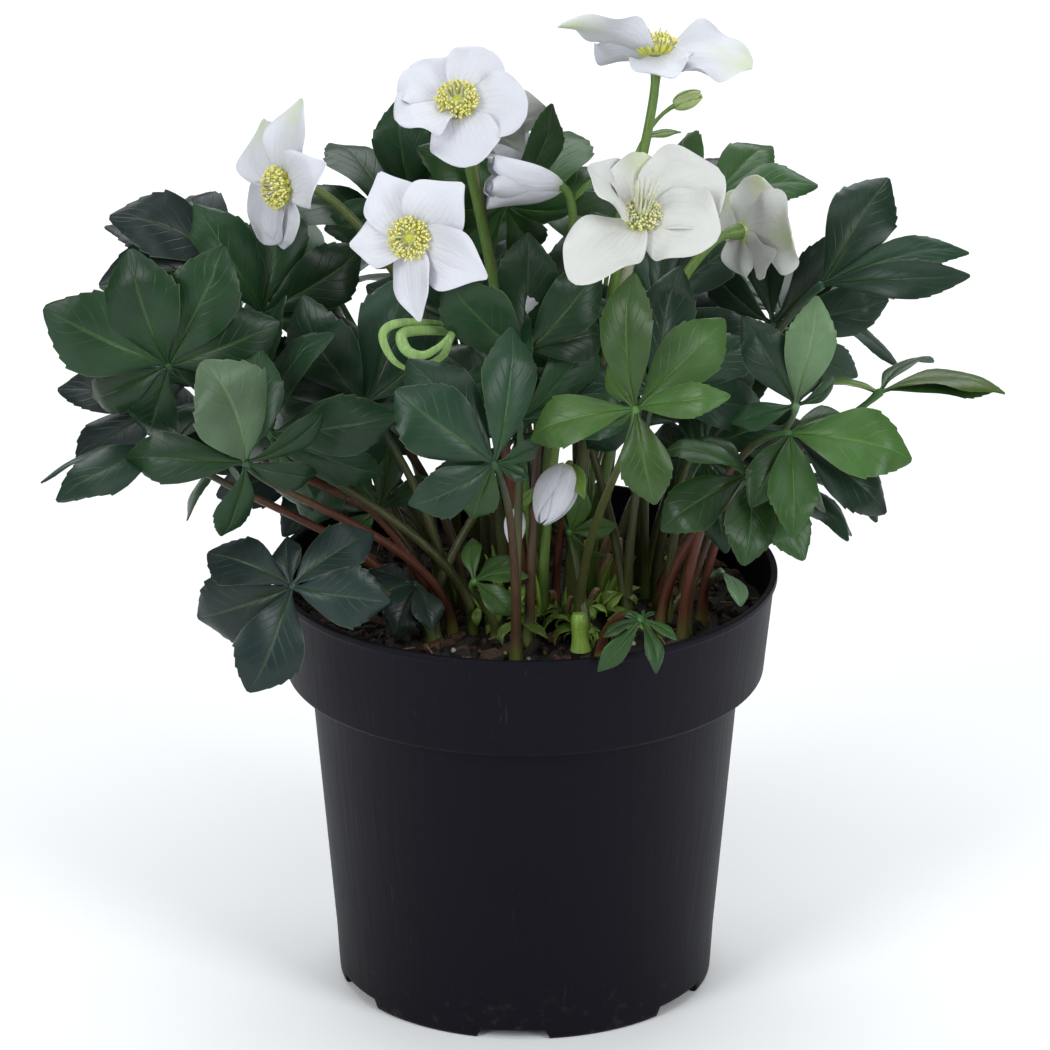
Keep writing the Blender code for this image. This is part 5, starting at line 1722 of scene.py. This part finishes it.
@dataclass
class NurseryPot:
    """Thin tapered pot with a banded rim, a lip, a notched foot ring and drain holes."""

    height: float = 0.197
    rim: float = 0.115
    lip_height: float = 0.0040
    lip_overhang: float = 0.0014
    band_height: float = 0.0485
    band_foot: float = 0.1090
    shoulder: float = 0.0980
    base: float = 0.0860
    wall: float = 0.0018
    floor: float = 0.0065
    floor_thick: float = 0.0022
    foot_inside: float = 0.0820
    pad: float = 0.0220
    edge: float = 0.0015
    notches: int = 6
    notch_azimuth: float = -93.7
    notch_width: float = 0.034
    notch_height: float = 0.0048
    notch_slant: float = 0.0020
    drains: int = 6
    drain_radius: float = 0.006
    drain_ring: float = 0.058

    def profile(self) -> Array:
        """Outside from the middle of the underside up to the rim, then the inside down again."""
        step = self.height - self.band_height
        top = self.rim - self.lip_overhang
        inner_floor = self.floor + self.floor_thick
        return rounded([
            (0.0005, 0.0), (self.pad, 0.0), (self.pad + 0.0012, self.floor),
            (self.foot_inside - 0.0006, self.floor), (self.foot_inside, 0.0),
            (self.base - 0.0004 - self.edge * 0.7, 0.0), (self.base - 0.0004, self.edge),
            (self.base, self.floor), (self.base + 0.0010, self.floor + 0.016),
            (self.shoulder, step - 0.0012), (self.band_foot - self.edge, step),
            (self.band_foot, step + self.edge), (top, self.height - self.lip_height),
            (self.rim, self.height - self.lip_height + 0.0006), (self.rim, self.height),
            (top - self.wall + 0.0006, self.height), (top - self.wall, self.height - 0.0010),
            (self.band_foot - self.wall, step + 0.0025), (self.shoulder - self.wall, step - 0.0005),
            (self.base - self.wall, inner_floor), (0.0005, inner_floor)], 0.0007)

    def turns(self) -> Array:
        """Azimuths of the upright lines of the mesh: even steps, and closer at notch edges."""
        even = np.arange(0, 360, 2.5)
        half = math.degrees(0.5 * self.notch_width / self.base)
        slant = math.degrees(self.notch_slant / self.base)
        at = self.notch_azimuth + np.arange(self.notches) * 360.0 / self.notches
        edges = [(at + sign * part) % 360 for sign in (-1, 1) for part in (half, half - slant)]
        turns = np.sort(np.concatenate([even] + edges))
        return turns[np.append(np.diff(turns) > 0.3, True)]

    def notch(self, turns: Array) -> Array:
        """Height to which the foot ring is cut away at each azimuth."""
        pitch = 360.0 / self.notches
        off = np.abs((turns - self.notch_azimuth + pitch / 2) % pitch - pitch / 2)
        half = math.degrees(0.5 * self.notch_width / self.base)
        slant = math.degrees(self.notch_slant / self.base)
        return self.notch_height * np.clip((half + 0.02 - off) / slant, 0.0, 1.0)

    def cutters(self) -> bpy.types.Object:
        """Drills for the drain holes, as one mesh."""
        skin = Skin("drain_drills")
        turn = np.radians(self.notch_azimuth + (np.arange(self.drains) + 0.5) * 360.0 / self.drains)
        spots = spokes(turn) * self.drain_ring
        rows = np.array((self.floor - 0.004, self.floor + self.floor_thick + 0.004))
        paths = spots[:, None] + UP * rows[None, :, None]
        up = np.broadcast_to(UP, spots.shape)
        skin.stack(tube(paths, up, self.drain_radius, 24), up[:, None, None], up[:, None, None])
        thing = bpy.data.objects.new(skin.name, skin.mesh())
        link(thing)
        return thing

    def build(self) -> list[bpy.types.Object]:
        """Builds the pot: the profile carried round the axis, notched, then drilled."""
        profile, turns = self.profile(), self.turns()
        a = np.radians(turns)
        ring = np.stack((np.cos(a), np.sin(a)), -1)
        outside = profile[:, :1] > self.foot_inside - 0.002
        height = np.maximum(profile[:, 1:], self.notch(turns)[None] * outside)
        points = np.concatenate((ring[None] * profile[:, :1, None], height[..., None]), axis=-1)
        skin = Skin("nursery_pot")
        skin.stack(points[None], np.zeros(3), points[None])
        pot = skin.build(POT_PLASTIC, "pot_plastic", ["pot"], 38.0)
        drills = self.cutters()
        cut = pot.modifiers.new("drain_holes", "BOOLEAN")
        cut.operation, cut.solver, cut.object = "DIFFERENCE", "EXACT", drills
        bpy.context.view_layer.update()
        graph = bpy.context.evaluated_depsgraph_get()
        drilled = bpy.data.meshes.new_from_object(pot.evaluated_get(graph), depsgraph=graph)
        pot.modifiers.clear()
        pot.data = drilled
        pot.data.name = "nursery_pot"
        bpy.data.objects.remove(drills, do_unlink=True)
        return [pot]


@dataclass
class Compost:
    """Dark compost that fills the pot, with bark chips, fibres and grit lying on it."""

    level: float = SOIL_HEIGHT
    dip: float = 0.0030
    edge: float = 0.1093
    chips: int = 1500
    fibres: int = 90
    grit: int = 46

    def height(self, x: Array, y: Array) -> Array:
        """Surface height: level, dipping at the wall, plus coarse and fine lumps."""
        reach = np.hypot(x, y)
        spots = np.stack((x, y, np.zeros_like(x)), -1)
        rough = lumps(spots, 0.011, 3) * 0.0020 + lumps(spots, 0.004, 4) * 0.0014
        return self.level - self.dip * smoothstep(reach, self.edge - 0.012, self.edge) + rough - 0.0008

    def bed(self) -> Skin:
        """Plug of compost: up the pot's inside wall, then rings in over the rough top."""
        turn = np.linspace(0, 2 * math.pi, 121)[:-1]
        wall = np.array(((0.083, 0.0090), (0.0838, 0.0090), (0.0958, 0.1475), (0.1068, 0.1513),
                         (self.edge, 0.172)))
        reach = np.concatenate((wall[:, 0], self.edge * np.linspace(1, 0.02, 56)))[:, None] * np.ones(120)
        x, y = reach * np.cos(turn), reach * np.sin(turn)
        z = self.height(x, y)
        z[: len(wall)] = wall[:, 1:]
        points = np.stack((x, y, z), -1)
        skin = Skin("compost_bed")
        skin.stack(points[None], Tone.BARK_DARK.colour, points[None])
        return skin

    def scatter(self, dice: np.random.Generator, count: int, inner: float = 0.0) -> Array:
        """Points spread evenly over the compost's surface."""
        reach = self.edge * 0.97 * np.sqrt(dice.uniform(inner, 1, count))
        turn = dice.uniform(0, 2 * math.pi, count)
        x, y = reach * np.cos(turn), reach * np.sin(turn)
        return np.stack((x, y, self.height(x, y)), -1)

    def litter(self) -> Skin:
        """Chips are short flattened prisms, fibres thin bent tubes, and grit small beads."""
        dice = np.random.default_rng(SEED + 21)
        skin = Skin("bark_and_fibres")
        spots = self.scatter(dice, self.chips)
        size = 0.0013 + 0.0050 * dice.uniform(size=self.chips) ** 3.5
        along = unit(dice.normal(size=(self.chips, 3)) * (1, 1, 0.35))
        t = np.array((-1.0, -0.4, 0.5, 1.0))
        paths = spots[:, None] + along[:, None] * (size[:, None] * t)[..., None] + UP * 0.0006
        radii = size[:, None] * np.array((0.40, 0.66, 0.60, 0.30)) * dice.uniform(0.6, 1.3, (self.chips, 4))
        tones = np.array([tone.value for tone in (Tone.BARK_DARK, Tone.BARK, Tone.BARK_RED, Tone.BARK_DARK)])
        tint = tones[dice.integers(0, 4, self.chips)] * dice.uniform(0.5, 1.4, (self.chips, 1))
        skin.stack(tube(paths, along, radii, 5), tint[:, None, None], tint[:, None, None])
        feet = self.scatter(dice, self.fibres)
        way = unit(dice.normal(size=(self.fibres, 3)) * (1, 1, 0.25))
        bend = np.cross(way, (0, 0, 1.0)) * dice.uniform(-0.5, 0.5, (self.fibres, 1))
        long = dice.uniform(0.006, 0.026, (self.fibres, 1, 1))
        t = np.linspace(-0.5, 0.5, 7)[None, :, None]
        paths = feet[:, None] + (way[:, None] * t + bend[:, None] * (0.25 - t * t)) * long + UP * 0.0016
        straw = Tone.STRAW.colour * dice.uniform(0.12, 0.7, (self.fibres, 1, 1, 1))
        skin.stack(tube(paths, unit(paths[:, -1] - paths[:, -2]), 0.00035, 5), straw, straw)
        beads = self.scatter(dice, self.grit)
        t = np.array((-0.9, -0.35, 0.35, 0.9))
        up = np.broadcast_to(UP, beads.shape)
        size = dice.uniform(0.0005, 0.0013, (self.grit, 1))
        paths = beads[:, None] + up[:, None] * (size * t)[..., None] + UP * 0.0008
        tones = np.array([tone.value for tone in (Tone.GRIT, Tone.STRAW, Tone.NECTAR)])
        tint = (tones[dice.integers(0, 3, self.grit)] * 0.6)[:, None, None]
        skin.stack(tube(paths, up, size * np.array((0.5, 0.95, 0.95, 0.5)), 8), tint, tint)
        return skin

    def build(self) -> list[bpy.types.Object]:
        """Builds the bed and what lies on it."""
        return [self.bed().build(EARTH, "compost", ["compost"]),
                self.litter().build(EARTH, "compost", ["compost"])]


# ---- Studio ----------------------------------------------------------------------------------
@dataclass
class Studio:
    """Pale paper floor, soft boxes and the camera."""

    eye: tuple[float, float, float] = (0.0, -3.276, 1.474)
    tilt: float = 20.98           # degrees that the camera looks down
    lens: float = 264.8
    floor_size: float = 12.0
    world: float = 0.24

    def floor(self) -> None:
        """Lays the paper floor: a wide, flat sheet of one grid."""
        side = np.linspace(-0.5, 0.5, 13) * self.floor_size
        x, y = np.meshgrid(side, side)
        points = np.stack((x, y, np.zeros_like(x)), -1).reshape(-1, 3)
        i, j = np.meshgrid(np.arange(12), np.arange(12), indexing="ij")
        first = (i * 13 + j).ravel()
        faces = np.stack((first, first + 1, first + 14, first + 13), -1)
        mesh = bpy.data.meshes.new("paper_floor")
        mesh.from_pydata(points.tolist(), [], faces.tolist())
        mesh.materials.append(PAPER.make())
        floor = bpy.data.objects.new("paper_floor", mesh)
        link(floor)

    def box(self, name: str, spot: tuple[float, float, float], size: tuple[float, float], power: float,
            colour: tuple[float, float, float], aim: tuple[float, float, float] = (0.0, 0.0, 0.25)) -> None:
        """Hangs one soft box that faces `aim`."""
        light = bpy.data.lights.new(name, "AREA")
        light.color = colour
        light.shape = "RECTANGLE"
        light.size, light.size_y = size
        light.energy = power
        thing = bpy.data.objects.new(name, light)
        back = unit(np.array(spot) - np.array(aim))
        azimuth, rise = math.atan2(back[1], back[0]), math.asin(back[2])
        thing.location = spot
        thing.rotation_euler = (math.pi / 2 - rise, 0.0, azimuth + math.pi / 2)
        link(thing)

    def build(self) -> None:
        """Sets the floor, the lights, the sky and the camera."""
        self.floor()
        cool = (0.93, 0.97, 1.0)
        self.box("top_box", (0.0, -0.6, 2.4), (1.6, 1.2), 12.0, cool)
        self.box("back_box", (0.0, 2.3, 2.6), (3.4, 2.0), 84.0, cool, (0.0, 1.2, 0.0))
        self.box("left_box", (-1.7, -2.0, 1.5), (1.1, 1.5), 42.0, cool)
        self.box("right_box", (1.8, -1.9, 1.5), (1.0, 1.5), 38.0, cool)
        world = bpy.data.worlds.new("studio_air")
        bpy.context.scene.world = world
        world.use_nodes = True
        air = world.node_tree.nodes["Background"]
        air.inputs["Color"].default_value = (1.0, 1.0, 1.0, 1.0)
        air.inputs["Strength"].default_value = self.world
        view = bpy.context.scene.view_settings
        view.view_transform = "Standard"
        lens = bpy.data.cameras.new("camera")
        lens.sensor_width = 36.0
        lens.lens = self.lens
        lens.clip_end = 50.0
        camera = bpy.data.objects.new("camera", lens)
        camera.location = self.eye
        camera.rotation_euler = (math.radians(90.0 - self.tilt), 0.0, 0.0)
        link(camera)
        bpy.context.scene.camera = camera


def main() -> None:
    """Builds the plant in its pot, piece by piece, and the studio round it."""
    logging.basicConfig(level=logging.INFO, format="%(name)s: %(message)s")
    total = 0
    for maker in (NurseryPot(), Compost(), Crown(), Foliage(), FlowerStalks(), Flowers(), Buds()):
        pieces = maker.build()
        for piece in pieces:
            total += sum(len(face.vertices) - 2 for face in piece.data.polygons)
        LOG.info("%s: %d pieces", type(maker).__name__, len(pieces))
    LOG.info("the whole: %d triangles", total)
    Studio().build()


if __name__ == "__main__":
    main()
